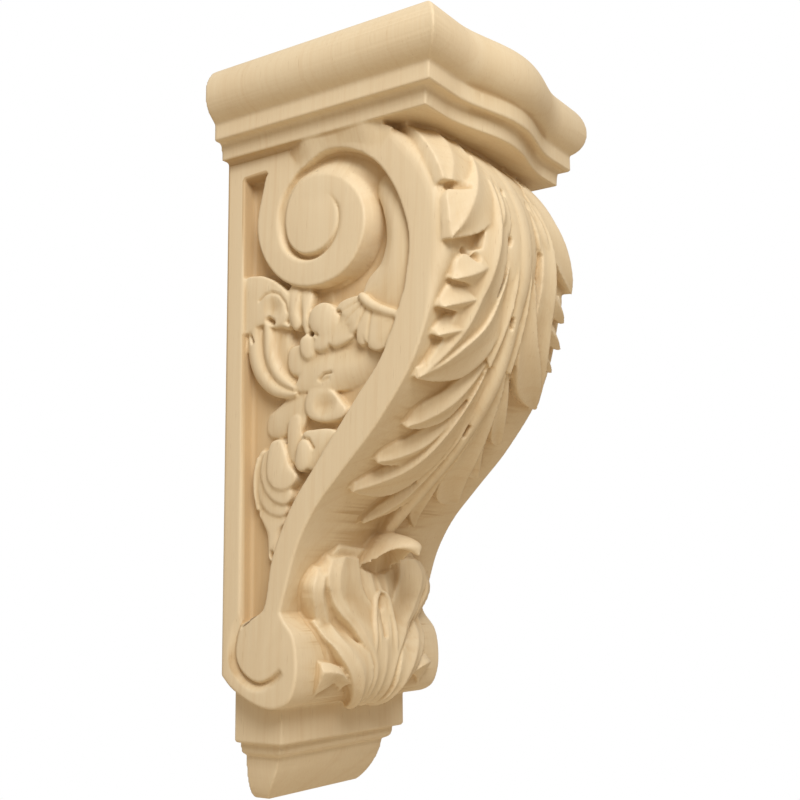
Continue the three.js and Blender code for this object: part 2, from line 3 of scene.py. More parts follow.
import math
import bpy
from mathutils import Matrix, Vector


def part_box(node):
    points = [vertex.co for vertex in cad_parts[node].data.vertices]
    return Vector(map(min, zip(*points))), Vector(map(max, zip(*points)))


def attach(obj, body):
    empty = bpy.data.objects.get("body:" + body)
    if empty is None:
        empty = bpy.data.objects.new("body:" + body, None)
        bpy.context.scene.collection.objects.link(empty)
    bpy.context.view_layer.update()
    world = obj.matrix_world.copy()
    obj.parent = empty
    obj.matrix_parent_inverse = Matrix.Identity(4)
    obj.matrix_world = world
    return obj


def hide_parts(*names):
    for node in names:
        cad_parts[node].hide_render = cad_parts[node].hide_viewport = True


bl_info = {
    "name": "Carved Wooden Corbel",
    "version": (1, 0, 0),
    "blender": (4, 5, 0),
    "location": "View3D > Sidebar > Corbel",
    "description": "Makes a scrolled and leaf-carved corbel bracket in bare wood, with a plain studio around it",
    "category": "Add Mesh",
}

from itertools import product

import bpy
import numpy as np
from bpy.props import FloatProperty, FloatVectorProperty, PointerProperty
from mathutils import Matrix, Vector
from mathutils.bvhtree import BVHTree

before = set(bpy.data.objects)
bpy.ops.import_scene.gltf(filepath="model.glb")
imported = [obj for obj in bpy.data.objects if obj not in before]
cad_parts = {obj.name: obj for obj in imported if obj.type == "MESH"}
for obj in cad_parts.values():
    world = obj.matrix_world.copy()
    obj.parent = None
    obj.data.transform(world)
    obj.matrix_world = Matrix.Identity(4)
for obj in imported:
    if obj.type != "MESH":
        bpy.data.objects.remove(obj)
NODE = "corbel"
LOW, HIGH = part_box(NODE)
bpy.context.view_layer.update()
MM = 0.001
HEIGHT = (HIGH[2] - LOW[2]) / MM
CAP_HALF = (HIGH[0] - LOW[0]) / 2 / MM
TO_FOOT = np.array((0, 0, HEIGHT / 2))
PIECE = "corbel_carved"

# The carving keeps its proportions: its points are written at this height, half width and length of front
DRAWN_HEIGHT = 355.6
DRAWN_HALF = 60.8
DRAWN_RUN = 284.4
DRAWN_LOWER_RUN = 100.6

# The direction of a course is taken over this distance to each side
TANGENT_STEP = 0.8
# Tool marks are struck from this height over the surface
STRUCK_FROM = 16
# The underside of a shell lies this deep in the wood
ROOT, SHALLOW_ROOT = 9, 2.5
# A cut reaches this far out of the wood
CLEAR = 2
# Sides of a bead's section
BEAD_SIDES = 14
# Most triangles in the finished piece, and the room that it keeps inside the block, in metres
MOST_TRIANGLES = 190000
MARGIN = 1e-6
# Rounds of easing that find fine and broad hollows for the painted shade, and how much each counts
HOLLOW_ROUNDS = ((14, 1.0), (56, 0.3))
# Sockets of a node that mixes colours: its share, its two colours and its result
MIX_SHARE, MIX_FIRST, MIX_SECOND, MIX_RESULT = 0, 6, 7, 2


# Sizes and colours that a user would change


def length(name, description, default):
    """A size in millimetres"""
    return FloatProperty(name=name, description=description, default=default, min=0.0, precision=2)


def tint(name, description, default):
    """A colour"""
    return FloatVectorProperty(name=name, description=description, default=default, subtype="COLOR", size=3)


def fraction(name, description, default):
    """A number from 0 to 1"""
    return FloatProperty(name=name, description=description, default=default, min=0.0, max=1.0)


def spot(name, description, default):
    """A place in the scene"""
    return FloatVectorProperty(name=name, description=description, default=default, subtype="TRANSLATION", size=3)


def metres(name, description, default):
    """A distance in the scene"""
    return FloatProperty(name=name, description=description, default=default, min=0.0, unit="LENGTH")


def angle(name, description, default):
    """An angle"""
    return FloatProperty(name=name, description=description, default=default, subtype="ANGLE")


class CorbelShape(bpy.types.PropertyGroup):
    """Sizes of the block, in millimetres"""

    body_width: length("Body width", "Width of the scrolled body", 121.6)
    soffit_over: length("Soffit overhang", "How far the cap's cove stands out from the body", 4.6)
    cove_out: length("Cove out", "How far the cove spreads from foot to top", 1.5)
    cove_high: length("Cove height", "Height of the cove under the band", 8.6)
    step_out: length("Band step", "How far the square band stands out from the cove", 4.1)
    band_high: length("Band height", "Height of the square band", 8.8)
    nose_high: length("Nose half height", "Half the height of the bullnose", 15.3)
    bow: length("Bow", "How far the middle of the cap bows out to the front", 8.2)
    bow_half: length("Bow half width", "Half the width of the bow", 50.0)
    scroll_radius: length("Scroll radius", "Radius of the front of the scroll", 59.0)
    scroll_below_top: length("Scroll below top", "Depth of the scroll's centre below the top", 100.6)
    scroll_from_wall: length("Scroll from wall", "Distance of the scroll's centre from the wall", 68.0)
    edge_round: length("Edge rounding", "Rounding of the front edges at the head of the scroll", 6.8)
    roll_bottom: length("Roll bottom", "Height of the underside of the roll", 44.0)
    roll_high: length("Roll height", "Height of the roll", 44.3)
    roll_nose: length("Roll nose", "Distance of the roll's front from the wall", 44.7)
    block_half: length("Block half width", "Half the width of the square block", 50.4)
    block_depth: length("Block depth", "Depth of the square block", 28.0)
    block_bottom: length("Block bottom", "Height of the underside of the block", 26.9)
    recess_deep: length("Panel depth", "How far the side panels are sunk", 8.0)
    stile: length("Stile", "Width of the flat strip along the wall", 11.5)
    rail: length("Top rail", "Height of the flat strip under the cap", 10.7)
    channel: length("Channel depth", "How much deeper than the panel the volute's channel ends", 5.0)
    grain_step: length("Carving step", "Size of the smallest form left by the carving tools", 0.7)


class CorbelWood(bpy.types.PropertyGroup):
    """Colours and figure of the wood, with the painted shade of its hollows and of its crack"""

    pale: tint("Pale wood", "Colour of the early wood", (0.785, 0.655, 0.44))
    dark: tint("Dark wood", "Colour of the late wood", (0.69, 0.52, 0.305))
    pores: tint("Pores", "Colour of the pores", (0.42, 0.27, 0.12))
    # Painted shade: the brown that the hollows take stands in for the shade and warm bounced light that fall in them
    hollow: tint("Hollows", "Colour in the hollows", (0.50, 0.32, 0.14))
    edges: tint("Edges", "Colour on the edges", (0.87, 0.76, 0.57))
    # The crack is cut only as a shallow knife line; its near-black colour is painted shade standing in for the shade
    # inside it
    crack: tint("Crack", "Colour in the crack", (0.16, 0.08, 0.03))
    # How strongly the deepest hollows take the painted shade colour
    painted_shade_strength: fraction("Hollow tint", "How much of their colour the deepest hollows take", 0.55)
    ring_mm: length("Ring spacing", "Distance between growth rings", 3.2)
    roughness: fraction("Roughness", "Roughness of the sanded face", 0.55)


class CorbelStudio(bpy.types.PropertyGroup):
    """The floor, the lights and the camera"""

    floor_drop: metres("Floor drop", "Distance of the floor below the foot", 0.57)
    floor_reach: metres("Floor reach", "Distance from the middle of the floor to its edges", 2.0)
    floor_colour: tint("Floor", "Colour of the floor", (0.9, 0.79, 0.62))
    key_power: FloatProperty(name="Key light", description="Power of the main soft light", default=21.5, unit="POWER")
    key_at: spot("Key light place", "Where the main soft light hangs", (-0.88, -0.92, 1.0))
    key_size: metres("Key light size", "Width of the main soft light", 0.8)
    key_colour: tint("Key light colour", "Colour of the main soft light", (1.0, 0.99, 0.97))
    fill: FloatProperty(name="Fill", description="Strength of the light from all round", default=0.36, min=0)
    fill_below: tint("Fill from below", "Colour of the light that comes back from the floor", (0.86, 0.55, 0.27))
    fill_above: tint("Fill from above", "Colour of the light that comes from above", (1.14, 1.06, 0.98))
    focal: FloatProperty(name="Focal length", description="Focal length in mm", default=52.62)
    sensor: length("Sensor", "Width of the camera's sensor", 36)
    camera_at: spot("Camera place", "Where the camera stands", (-0.4799, -0.3812, -0.0818))
    camera_yaw: angle("Camera yaw", "Turn from +Y", -0.98346)
    camera_pitch: angle("Camera pitch", "Tilt up", 0.1628)
    camera_roll: angle("Camera roll", "Roll", -0.01032)


# Curves and solids, in millimetres, with depths from the wall and heights from the underside of the foot


def curve(before, start, end, after, t):
    """Points from start to end, at t, on a smooth curve through all four"""
    return 0.5 * (
        2 * start
        + (end - before) * t
        + (2 * before - 5 * start + 4 * end - after) * t**2
        + (3 * start - before - 3 * end + after) * t**3
    )


def curve_at(points, shares):
    """Points on a curve through the given points, one for each share of its count from 0 to 1"""
    points = np.asarray(points, float)
    last = len(points) - 1
    at = np.clip(np.asarray(shares, float), 0, 1) * last
    i = np.minimum(at.astype(int), last - 1)
    before, after = points[np.maximum(i - 1, 0)], points[np.minimum(i + 2, last)]
    return curve(before, points[i], points[i + 1], after, (at - i)[:, None])


def smooth_line(points, count):
    """That many points on a smooth curve through the given points"""
    return curve_at(points, np.linspace(0, 1, count))


def mixed(start, end, share):
    """A value between two others"""
    return start + (end - start) * share


def rise(value, low, high):
    """A smooth step from 0 at low to 1 at high"""
    t = np.clip((np.asarray(value, float) - low) / (high - low), 0, 1)
    return t * t * (3 - 2 * t)


def unit(vectors):
    """The same vectors at a length of 1"""
    return vectors / np.linalg.norm(vectors, axis=-1, keepdims=True)


def spread(*values):
    """Numbers and rows of numbers, all brought to one length"""
    return np.broadcast_arrays(*(np.asarray(value, float) for value in values))


def round_ring(sign, centre, degrees, ring):
    """Points on one side at an angle round a centre in depth and height, from pairs of radius and half width"""
    radius, half = np.asarray(ring, float).T
    turn = math.radians(degrees)
    return np.column_stack([sign * half, -centre[0] - radius * math.cos(turn), centre[1] + radius * math.sin(turn)])


class Course:
    """A curve of the front in depth and height, with places along it, across it and lifted off it"""

    def __init__(self, points, drawn_run, across_scale):
        self.points = np.asarray(points, float)
        steps = np.linalg.norm(np.diff(self.points, axis=0), axis=1)
        self.run = np.concatenate([[0], np.cumsum(steps)])
        self.drawn_run = drawn_run
        self.across_scale = across_scale

    def at(self, along):
        reach = np.clip(np.asarray(along, float) / self.drawn_run, 0, 1) * self.run[-1]
        return np.stack([np.interp(reach, self.run, self.points[:, k]) for k in (0, 1)], -1)

    def __call__(self, across, along, lift):
        across, along, lift = spread(across, along, lift)
        middle = self.at(along)
        tangent = unit(self.at(along + TANGENT_STEP) - self.at(along - TANGENT_STEP))
        depth = middle[..., 0] - tangent[..., 1] * lift
        up = middle[..., 1] + tangent[..., 0] * lift
        return np.stack([across * self.across_scale, -depth, up], -1)


class Layout:
    """Levels, half widths and curves that follow from the sizes"""

    def __init__(self, shape):
        self.shape = shape
        self.half = shape.body_width / 2
        self.cap_half = self.half + shape.soffit_over
        self.clear = self.cap_half + CLEAR
        self.band_half = self.cap_half + shape.cove_out + shape.step_out
        self.nose_out = CAP_HALF - self.cap_half
        self.nose_z = HEIGHT - shape.nose_high
        self.nose_start = -math.acos((self.band_half - self.cap_half) / self.nose_out)
        self.band_top = self.nose_z + shape.nose_high * math.sin(self.nose_start)
        self.band_bottom = self.band_top - shape.band_high
        self.cap_bottom = self.band_bottom - shape.cove_high
        self.scroll_z = HEIGHT - shape.scroll_below_top
        self.corner_depth = -LOW[1] / MM - shape.bow - self.nose_out
        self.eye = (52, self.scroll_z + 14)
        self.ground = self.half - shape.recess_deep
        across_scale = self.half / DRAWN_HALF
        self.front = Course(self.front_points(), DRAWN_RUN, across_scale)
        self.lower = Course(self.lower_points(), DRAWN_LOWER_RUN, across_scale)

    def front_points(self):
        shape = self.shape
        turn = np.radians(np.linspace(90, -22, 90))
        depth = shape.scroll_from_wall + shape.scroll_radius * np.cos(turn)
        arc = np.column_stack([depth, self.scroll_z + shape.scroll_radius * np.sin(turn)])
        start = arc[-1]
        end = np.array([shape.roll_nose - 10.7, shape.roll_bottom + shape.roll_high - 4])
        line = smooth_line([start + (end - start) * np.array(part) for part in NECK], 200)
        return np.vstack([arc, line[1:]])

    def roll_at(self, across, up):
        return [self.shape.roll_nose * across, self.shape.roll_bottom + self.shape.roll_high * up]

    def lower_points(self):
        return smooth_line([self.roll_at(*part) for part in ROLL_FRONT], 200)

    def surface(self, name, sign):
        """The function that gives places over one surface, mirrored across where sign is -1. Over a side they are
        given by depth, height and lift, over the front and over the roll by across, along and lift."""

        def over_side(depth, up, lift):
            depth, up, lift = spread(depth, up, lift)
            return np.stack([sign * (self.ground + lift), -depth, up / DRAWN_HEIGHT * HEIGHT], -1)

        def over_course(across, along, lift):
            return getattr(self, name)(across * sign, along, lift)

        return over_side if name == "side" else over_course


# The neck below the scroll, in shares of the way to the roll, and the front of the roll, in shares of its size
NECK = ((0, 0), (0.143, 0.235), (0.369, 0.423), (0.594, 0.56), (0.763, 0.667), (0.876, 0.777), (0.944, 0.894), (1, 1))
ROLL_FRONT = (
    (1.32, 1.85), (1.19, 1.69), (1.07, 1.51), (1, 1.31), (0.96, 1.11), (0.97, 0.9), (1.01, 0.7), (1.02, 0.52),
    (1.01, 0.36), (0.96, 0.21), (0.86, 0.07), (0.69, 0), (0.54, -0.01),
)


def read_vectors(mesh, what):
    """One vector for each vertex of a mesh"""
    values = np.empty(len(mesh.vertices) * 3, np.float32)
    mesh.vertices.foreach_get(what, values)
    return values.reshape(-1, 3)


def write_places(mesh, points):
    """Moves the vertices of a mesh"""
    mesh.vertices.foreach_set("co", points.astype(np.float32).ravel())
    mesh.update()


def mesh_of(name, points, edges, faces):
    """A new mesh from lists"""
    mesh = bpy.data.meshes.new(name)
    mesh.from_pydata(points, edges, faces)
    return mesh


def put(name, data):
    """A new object in the scene"""
    thing = bpy.data.objects.new(name, data)
    bpy.context.scene.collection.objects.link(thing)
    return thing


class Shells:
    """Closed solids gathered as one list of vertices and faces"""

    def __init__(self):
        self.vertices = []
        self.faces = []
        self.count = 0

    def loft(self, rings):
        """A closed solid through a row of rings of equal count, shut at both ends by a fan"""
        rings = np.asarray(rings, float)
        rows, columns = rings.shape[:2]
        points = np.vstack([rings.reshape(-1, 3), rings[0].mean(0)[None], rings[-1].mean(0)[None]])
        i, j = np.meshgrid(np.arange(rows - 1), np.arange(columns), indexing="ij")
        here, beside = i * columns + j, i * columns + (j + 1) % columns
        quads = np.stack([here, beside, beside + columns, here + columns], -1).reshape(-1, 4)
        edge = np.arange(columns)
        following = (edge + 1) % columns
        first = np.stack([np.full(columns, rows * columns), following, edge], -1)
        offset = (rows - 1) * columns
        last = np.stack([np.full(columns, rows * columns + 1), offset + edge, offset + following], -1)
        triangles = np.vstack([first, last, quads[:, [0, 1, 2]], quads[:, [0, 2, 3]]])
        a, b, c = (points[triangles[:, k]] for k in range(3))
        if np.einsum("ij,ij->i", a, np.cross(b, c)).sum() < 0:
            quads, first, last = quads[:, ::-1], first[:, ::-1], last[:, ::-1]
        self.vertices.append(points)
        for faces in (quads, first, last):
            self.faces.extend((faces + self.count).tolist())
        self.count += len(points)
        return self

    def take(self, thing):
        """Adds an object's mesh, deletes the object"""
        mesh = thing.data
        self.vertices.append(read_vectors(mesh, "co") / MM + TO_FOOT)
        self.faces.extend([i + self.count for i in p.vertices] for p in mesh.polygons)
        self.count += len(mesh.vertices)
        bpy.data.objects.remove(thing)

    def to_object(self, name):
        """All of the solids as one object"""
        if not self.count:
            raise RuntimeError(name + " came out empty")
        points = (np.vstack(self.vertices) - TO_FOOT) * MM
        return put(name, mesh_of(name, points.tolist(), [], self.faces))


def applied(thing):
    """Turns an object's modifiers into its mesh"""
    graph = bpy.context.evaluated_depsgraph_get()
    mesh = bpy.data.meshes.new_from_object(thing.evaluated_get(graph))
    thing.modifiers.clear()
    old = thing.data
    thing.data = mesh
    bpy.data.meshes.remove(old)
    return thing


def worked(thing, kind, **settings):
    """Works one modifier into an object's mesh"""
    modifier = thing.modifiers.new(kind.title(), kind)
    for name, value in settings.items():
        setattr(modifier, name, value)
    return applied(thing)


def combine(target, tool, operation):
    """Joins a closed tool to the target, or cuts it away, and deletes the tool"""
    worked(target, "BOOLEAN", operation=operation, solver="MANIFOLD", object=tool)
    bpy.data.objects.remove(tool)


def lobe(shells, place, spine, widths, lifts, steps=40):
    """One carved lobe along a spine. Widths are (near, far) pairs, lifts are (near, crest, far) along the spine."""
    shares = np.linspace(0, 1, steps)
    line = curve_at(spine, shares)
    ahead = unit(curve_at(spine, shares + 1e-3) - curve_at(spine, shares - 1e-3))
    half = np.maximum(curve_at(widths, shares), 0.25)
    near, crest, far = curve_at(lifts, shares).T
    sides = np.linspace(-1, 1, 13)
    rings = []
    for k in range(steps):
        reach = np.where(sides < 0, half[k, 0], half[k, 1]) * sides
        edge = np.where(sides < 0, near[k], far[k])
        lift = crest[k] + (edge - crest[k]) * sides**2
        reach = np.concatenate([reach[:1], reach, reach[-1:]])
        lift = np.concatenate([[-ROOT], lift, [-ROOT]])
        rings.append(place(line[k, 0] - ahead[k, 1] * reach, line[k, 1] + ahead[k, 0] * reach, lift))
    shells.loft(rings)


def bead_tree():
    """Nodes that run a round bead along a line, with its half width kept at each point of the line"""
    name = "bead along a line"
    if name in bpy.data.node_groups:
        return bpy.data.node_groups[name]
    tree = bpy.data.node_groups.new(name, "GeometryNodeTree")
    for socket, kind in (("Line", "Geometry"), ("Sides", "Int"), ("Fullness", "Float"), ("Wood", "Material")):
        tree.interface.new_socket(socket, in_out="INPUT", socket_type="NodeSocket" + kind)
    tree.interface.new_socket("Bead", in_out="OUTPUT", socket_type="NodeSocketGeometry")

    def node(kind, **inputs):
        made = tree.nodes.new(kind)
        for name, value in inputs.items():
            slot = made.inputs[name.replace("_", " ")]
            if isinstance(value, bpy.types.NodeSocket):
                tree.links.new(value, slot)
            else:
                slot.default_value = value
        return made

    given = tree.nodes.new("NodeGroupInput").outputs
    half = node("GeometryNodeInputNamedAttribute", Name="half").outputs["Attribute"]
    scale = tree.nodes.new("ShaderNodeMath")
    scale.operation = "MULTIPLY"
    tree.links.new(half, scale.inputs[0])
    tree.links.new(given["Fullness"], scale.inputs[1])
    path = node("GeometryNodeMeshToCurve", Mesh=given["Line"]).outputs["Curve"]
    section = node("GeometryNodeCurvePrimitiveCircle", Resolution=given["Sides"], Radius=1.0).outputs["Curve"]
    swept = node("GeometryNodeCurveToMesh", Curve=path, Profile_Curve=section, Scale=scale.outputs[0], Fill_Caps=True)
    real = node("GeometryNodeRealizeInstances", Geometry=swept.outputs["Mesh"])
    dressed = node("GeometryNodeSetMaterial", Geometry=real.outputs["Geometry"], Material=given["Wood"])
    tree.links.new(dressed.outputs["Geometry"], node("NodeGroupOutput").inputs["Bead"])
    return tree


def add_beads(shells, layout, surface):
    """Runs the beads of one surface along their lines, on both sides"""
    tree = bead_tree()
    inputs = {"Sides": BEAD_SIDES, "Fullness": 1.0, "Wood": wood_of(bpy.context)}
    for line in BEADS[surface]:
        first, second, lift, half = smooth_line(line, 28).T
        for sign in (1, -1):
            points = (layout.surface(surface, sign)(first, second, lift) - TO_FOOT) * MM
            mesh = mesh_of("line", points.tolist(), [(i, i + 1) for i in range(len(points) - 1)], [])
            mesh.attributes.new("half", "FLOAT", "POINT").data.foreach_set("value", (half * MM).astype(np.float32))
            bead = put("bead", mesh)
            modifier = bead.modifiers.new("Bead", "NODES")
            modifier.node_group = tree
            for item in tree.interface.items_tree:
                if item.name in inputs:
                    modifier[item.identifier] = inputs[item.name]
            shells.take(applied(bead))


# The pieces of the block


def scrolled_body(layout):
    """The body between cap and roll, with the edges of its front eased round near the top"""
    across = np.concatenate([[1, 0.995], np.linspace(0.985, 0.885, 8), np.linspace(0.6, 0, 4)])
    across = np.concatenate([across, -across[-2::-1]]) * DRAWN_HALF
    rings = []
    for along in np.linspace(0, DRAWN_RUN, 220):
        ease = layout.shape.edge_round * rise(along, 10, 50) * (1 - rise(along, 95, 140)) + 0.6
        into = np.clip((np.abs(across) - (DRAWN_HALF - ease)) / ease, 0, 1)
        ring = layout.front(across, along, -ease * (1 - np.sqrt(1 - into**2)))
        up = layout.front.at(along)[1]
        rings.append(np.vstack([ring, [(-layout.half, 0, up), (layout.half, 0, up)]]))
    return Shells().loft(rings)


def lower_roll(layout):
    """The roll at the foot of the scroll, across the full width"""
    round_shares = [(0, 0.32), (0.157, 0.18), (0.447, 0.04), (0.694, 0), (0.895, 0.08), (0.985, 0.27), (1, 0.5)]
    round_shares += [(0.95, 0.745), (0.8, 0.94), (0.7, 1.2)]
    outline = smooth_line([layout.roll_at(*part) for part in round_shares], 120)
    outline = np.vstack([outline, [layout.roll_at(0, 1.2)]])
    ease = 0.7
    middle = outline.mean(0)
    rings = []
    for x, inset in ((-layout.half, ease), (-layout.half + ease, 0), (layout.half - ease, 0), (layout.half, ease)):
        moved = outline + unit(middle - outline) * inset
        moved[outline[:, 0] < 0.01, 0] = 0
        rings.append(np.column_stack([np.full(len(moved), x), -moved[:, 0], moved[:, 1]]))
    return Shells().loft(rings)


def moulded_cap(layout):
    """A cove, a square band and a bullnose, mitred round a front that bows out in the middle"""
    shape = layout.shape
    ease = 0.4
    levels = []
    for t in np.linspace(0, 1, 8):
        hollow = 1 - math.sqrt(1 - t * t)
        half = layout.cap_half + shape.cove_out * (0.25 * t + 0.75 * hollow)
        levels.append((half, layout.cap_bottom + shape.cove_high * t))
    levels += [
        (layout.band_half - ease, layout.band_bottom),
        (layout.band_half, layout.band_bottom + ease),
        (layout.band_half, layout.band_top - 0.3),
    ]
    for turn in np.linspace(layout.nose_start + 0.05, math.pi / 2, 30):
        half = layout.cap_half + layout.nose_out * math.cos(turn)
        levels.append((half, layout.nose_z + shape.nose_high * math.sin(turn)))
    rings = []
    for half, z in levels:
        x = np.linspace(-half, half, 121)
        bow = np.where(np.abs(x) < shape.bow_half, 0.5 + 0.5 * np.cos(np.pi * x / shape.bow_half), 0)
        depth = layout.corner_depth + half - layout.cap_half + shape.bow * bow
        ring = np.column_stack([x, -depth, np.full(len(x), z)])
        rings.append(np.vstack([ring, [(half, 0, z), (-half, 0, z)]]))
    return Shells().loft(rings)


def stepped_foot(layout):
    """The square block, its fillet and the rounded foot"""
    shape = layout.shape
    fillet_half, fillet_depth, fillet_z = shape.block_half - 4.2, shape.block_depth - 4.1, shape.block_bottom - 3.0
    cove_in, cove_back, cove_high = 3.9, 4.0, 3.3
    top_half, top_depth, top_z = fillet_half - cove_in, fillet_depth - cove_back, fillet_z - cove_high
    foot_in, foot_back = 7.3, 11.5
    ease = 0.5
    levels = [
        (shape.block_half, shape.block_depth, shape.roll_bottom + shape.roll_high / 2),
        (shape.block_half, shape.block_depth, shape.block_bottom + ease),
        (shape.block_half - ease, shape.block_depth - ease, shape.block_bottom),
        (fillet_half, fillet_depth, shape.block_bottom),
        (fillet_half, fillet_depth, fillet_z),
    ]
    for t in np.linspace(0.15, 1, 7):
        inward = 1 - math.sqrt(1 - t * t)
        levels.append((fillet_half - cove_in * inward, fillet_depth - cove_back * inward, fillet_z - cove_high * t))
    for turn in np.linspace(0, 1, 14)[1:] * (math.pi / 2):
        depth = top_depth - foot_back * math.sin(turn) ** 1.7
        levels.append((top_half - foot_in * (1 - math.cos(turn)), depth, top_z * (1 - math.sin(turn))))
    rings = [[(-half, 0, z), (-half, -depth, z), (half, -depth, z), (half, 0, z)] for half, depth, z in levels]
    return Shells().loft(rings)


# The groove that winds out from the eye: turn in degrees, radius of the inner edge, of the floor's near side
# and of the outer edge, and the depth by the inner and the outer wall
WINDING_DEEP = 13
WINDING = (
    (55, 15.4, 15.9, 16.4, 0.05, 0.05),
    (20, 15.6, 16.2, 18.5, 0.7, 0.1),
    (-20, 15.6, 16.2, 19.0, 1.0, 0.2),
    (-60, 15.4, 16.0, 19.4, 2.8, 0.3),
    (-90, 15.2, 15.8, 19.6, 4.6, 0.3),
    (-120, 15.2, 15.8, 19.6, 5.0, 0.3),
    (-150, 14.8, 15.5, 19.8, 3.8, 0.4),
    (-180, 14.8, 15.6, 20.0, 2.2, 0.6),
    (-210, 16.6, 17.4, 22.0, 1.6, 1.2),
    (-240, 19.8, 21.0, 24.6, 0.9, 2.4),
    (-252, 21.0, 22.4, 26.6, 0.7, 3.2),
    (-270, 22.0, 23.4, 28.9, 0.6, 4.0),
    (-284, 22.8, 25.0, 33.0, 1.0, 5.0),
    (-299, 23.8, 27.4, 36.6, 1.8, 5.5),
    (-315, 25.5, 30.6, 40.0, 3.4, 6.5),
    (-331, 27.4, 32.8, 43.4, 6.2, 8.5),
    (-346, 29.6, 34.4, 46.6, 9.0, 10.4),
    (-362, 31.4, 35.2, 51.4, 11.4, 12.0),
    (-377, 32.6, 35.6, 57.4, 12.8, 12.8),
    (-390, 33.0, 35.8, 62.0, 13.0, 13.0),
    (-404, 33.2, 35.8, 67.0, 12.4, 13.0),
    (-420, 32.8, 35.2, 58.0, 10.6, 11.6),
    (-438, 32.0, 33.6, 44.0, 8.2, 8.4),
)


def panel_cut(layout, sign):
    """The sunk panel between the stile, the volute and the inner edge of the scroll"""
    stile = layout.shape.stile
    line = smooth_line([*ARM, (stile, 82)], 110) * (1, HEIGHT / DRAWN_HEIGHT)
    top = layout.cap_bottom - layout.shape.rail
    degrees, radius = smooth_line(DISC, 60).T
    turn = np.radians(degrees)
    disc = np.column_stack([layout.eye[0] + radius * np.cos(turn), layout.eye[1] + radius * np.sin(turn)])
    outline = np.vstack([[(stile, top), (stile + 16, top)], disc, line])
    ahead = unit(np.roll(outline, -1, 0) - np.roll(outline, 1, 0))
    out = np.column_stack([-ahead[:, 1], ahead[:, 0]])
    rings = []
    for x, wider in ((layout.ground, 0), (layout.half - 0.8, 0.5), (layout.clear, 1.2)):
        moved = outline + out * wider
        rings.append(np.column_stack([np.full(len(moved), sign * x), -moved[:, 0], moved[:, 1]]))
    return Shells().loft(rings)


# The inner edge of the scroll's arm, in depth and height, and the edge of the volute, by angle and radius
ARM = ((104.8, 240), (104, 232), (100, 218), (91, 199), (78, 183), (66, 168), (54, 153), (43, 139), (35, 125),
       (29, 110), (25, 90), (17, 85))
DISC = ((134, 40), (150, 35.5), (180, 33), (210, 31.3), (240, 31.2), (270, 31.8), (296, 33.4), (318, 36.4), (340, 36.6))


def channel_cut(layout, sign):
    """The groove of the volute, winding out from its eye and ending as the deep channel under the scroll"""
    deeper = (layout.shape.recess_deep + layout.shape.channel) / WINDING_DEEP
    half, top = layout.half, layout.clear
    rings = []
    for degrees, inner, floor, outer, near, far in smooth_line(WINDING, 220):
        middle = (max(near, far) - 0.35 * abs(near - far)) * deeper
        near, far = near * deeper, far * deeper
        ring = [(inner - 0.3, top), (inner, half - 0.1), (mixed(inner, floor, 0.5), half - near * 0.45)]
        ring += [(floor, half - near), (mixed(floor, outer, 0.45), half - middle), (outer - 0.9, half - far)]
        ring += [(outer, half - max(far - 0.9, 0.08)), (outer + 0.5, half + 0.2), (outer + 0.8, top)]
        rings.append(round_ring(sign, layout.eye, degrees, ring))
    return Shells().loft(rings)


def roll_cut(layout, sign):
    """The sunk line that curls round the eye of the roll"""
    points = smooth_line(ROLL_LINE, 70)
    ahead = unit(np.gradient(points, axis=0))
    out = np.column_stack([ahead[:, 1], -ahead[:, 0]])
    deep = np.interp(np.linspace(0, 1, 70), *np.transpose(ROLL_LINE_DEEP))
    rings = []
    for point, away, depth in zip(points, out, deep):
        ring = [(-0.2, 3), (0, -0.1), (0.3, -depth), (1.0, -depth), (4.5, -0.1), (6.0, 3)]
        rings.append([(sign * (layout.half + x), -(point[0] + away[0] * r), point[1] + away[1] * r) for r, x in ring])
    return Shells().loft(rings)


# The line that curls round the eye of the roll, in depth and height, and how deep it is along its length
ROLL_LINE = ((26, 88), (17, 85), (12, 81.5), (9.5, 75), (8.8, 68), (11, 62.5), (16, 58), (22, 56), (28, 57.5), (32, 60),
             (35, 62.5))
ROLL_LINE_DEEP = ((0, 0.4), (0.12, 1.2), (0.3, 1.8), (0.55, 2.6), (0.75, 2.8), (0.9, 2.2), (1, 0.3))


def scroll_shoulder(layout, sign):
    """The head of the scroll swells out to meet the cove flush"""
    shape = layout.shape
    rings = []
    for degrees in np.linspace(58, 120, 60):
        reach = shape.soffit_over * float(rise(degrees, 58, 74) * (1 - rise(degrees, 104, 120)))
        ring = [(40, -2), (41, 0.05 * reach), (48, 0.3 * reach), (54, 0.75 * reach), (58.5, 1.0 * reach)]
        ring += [(shape.scroll_radius, 0.9 * reach), (shape.scroll_radius, -2)]
        centre = (shape.scroll_from_wall, layout.scroll_z)
        rings.append(round_ring(sign, centre, degrees, [(r, layout.half + x) for r, x in ring]))
    return Shells().loft(rings)


def even(*halves):
    """Half widths that are the same on both sides of a spine"""
    return [(half, half) for half in halves]


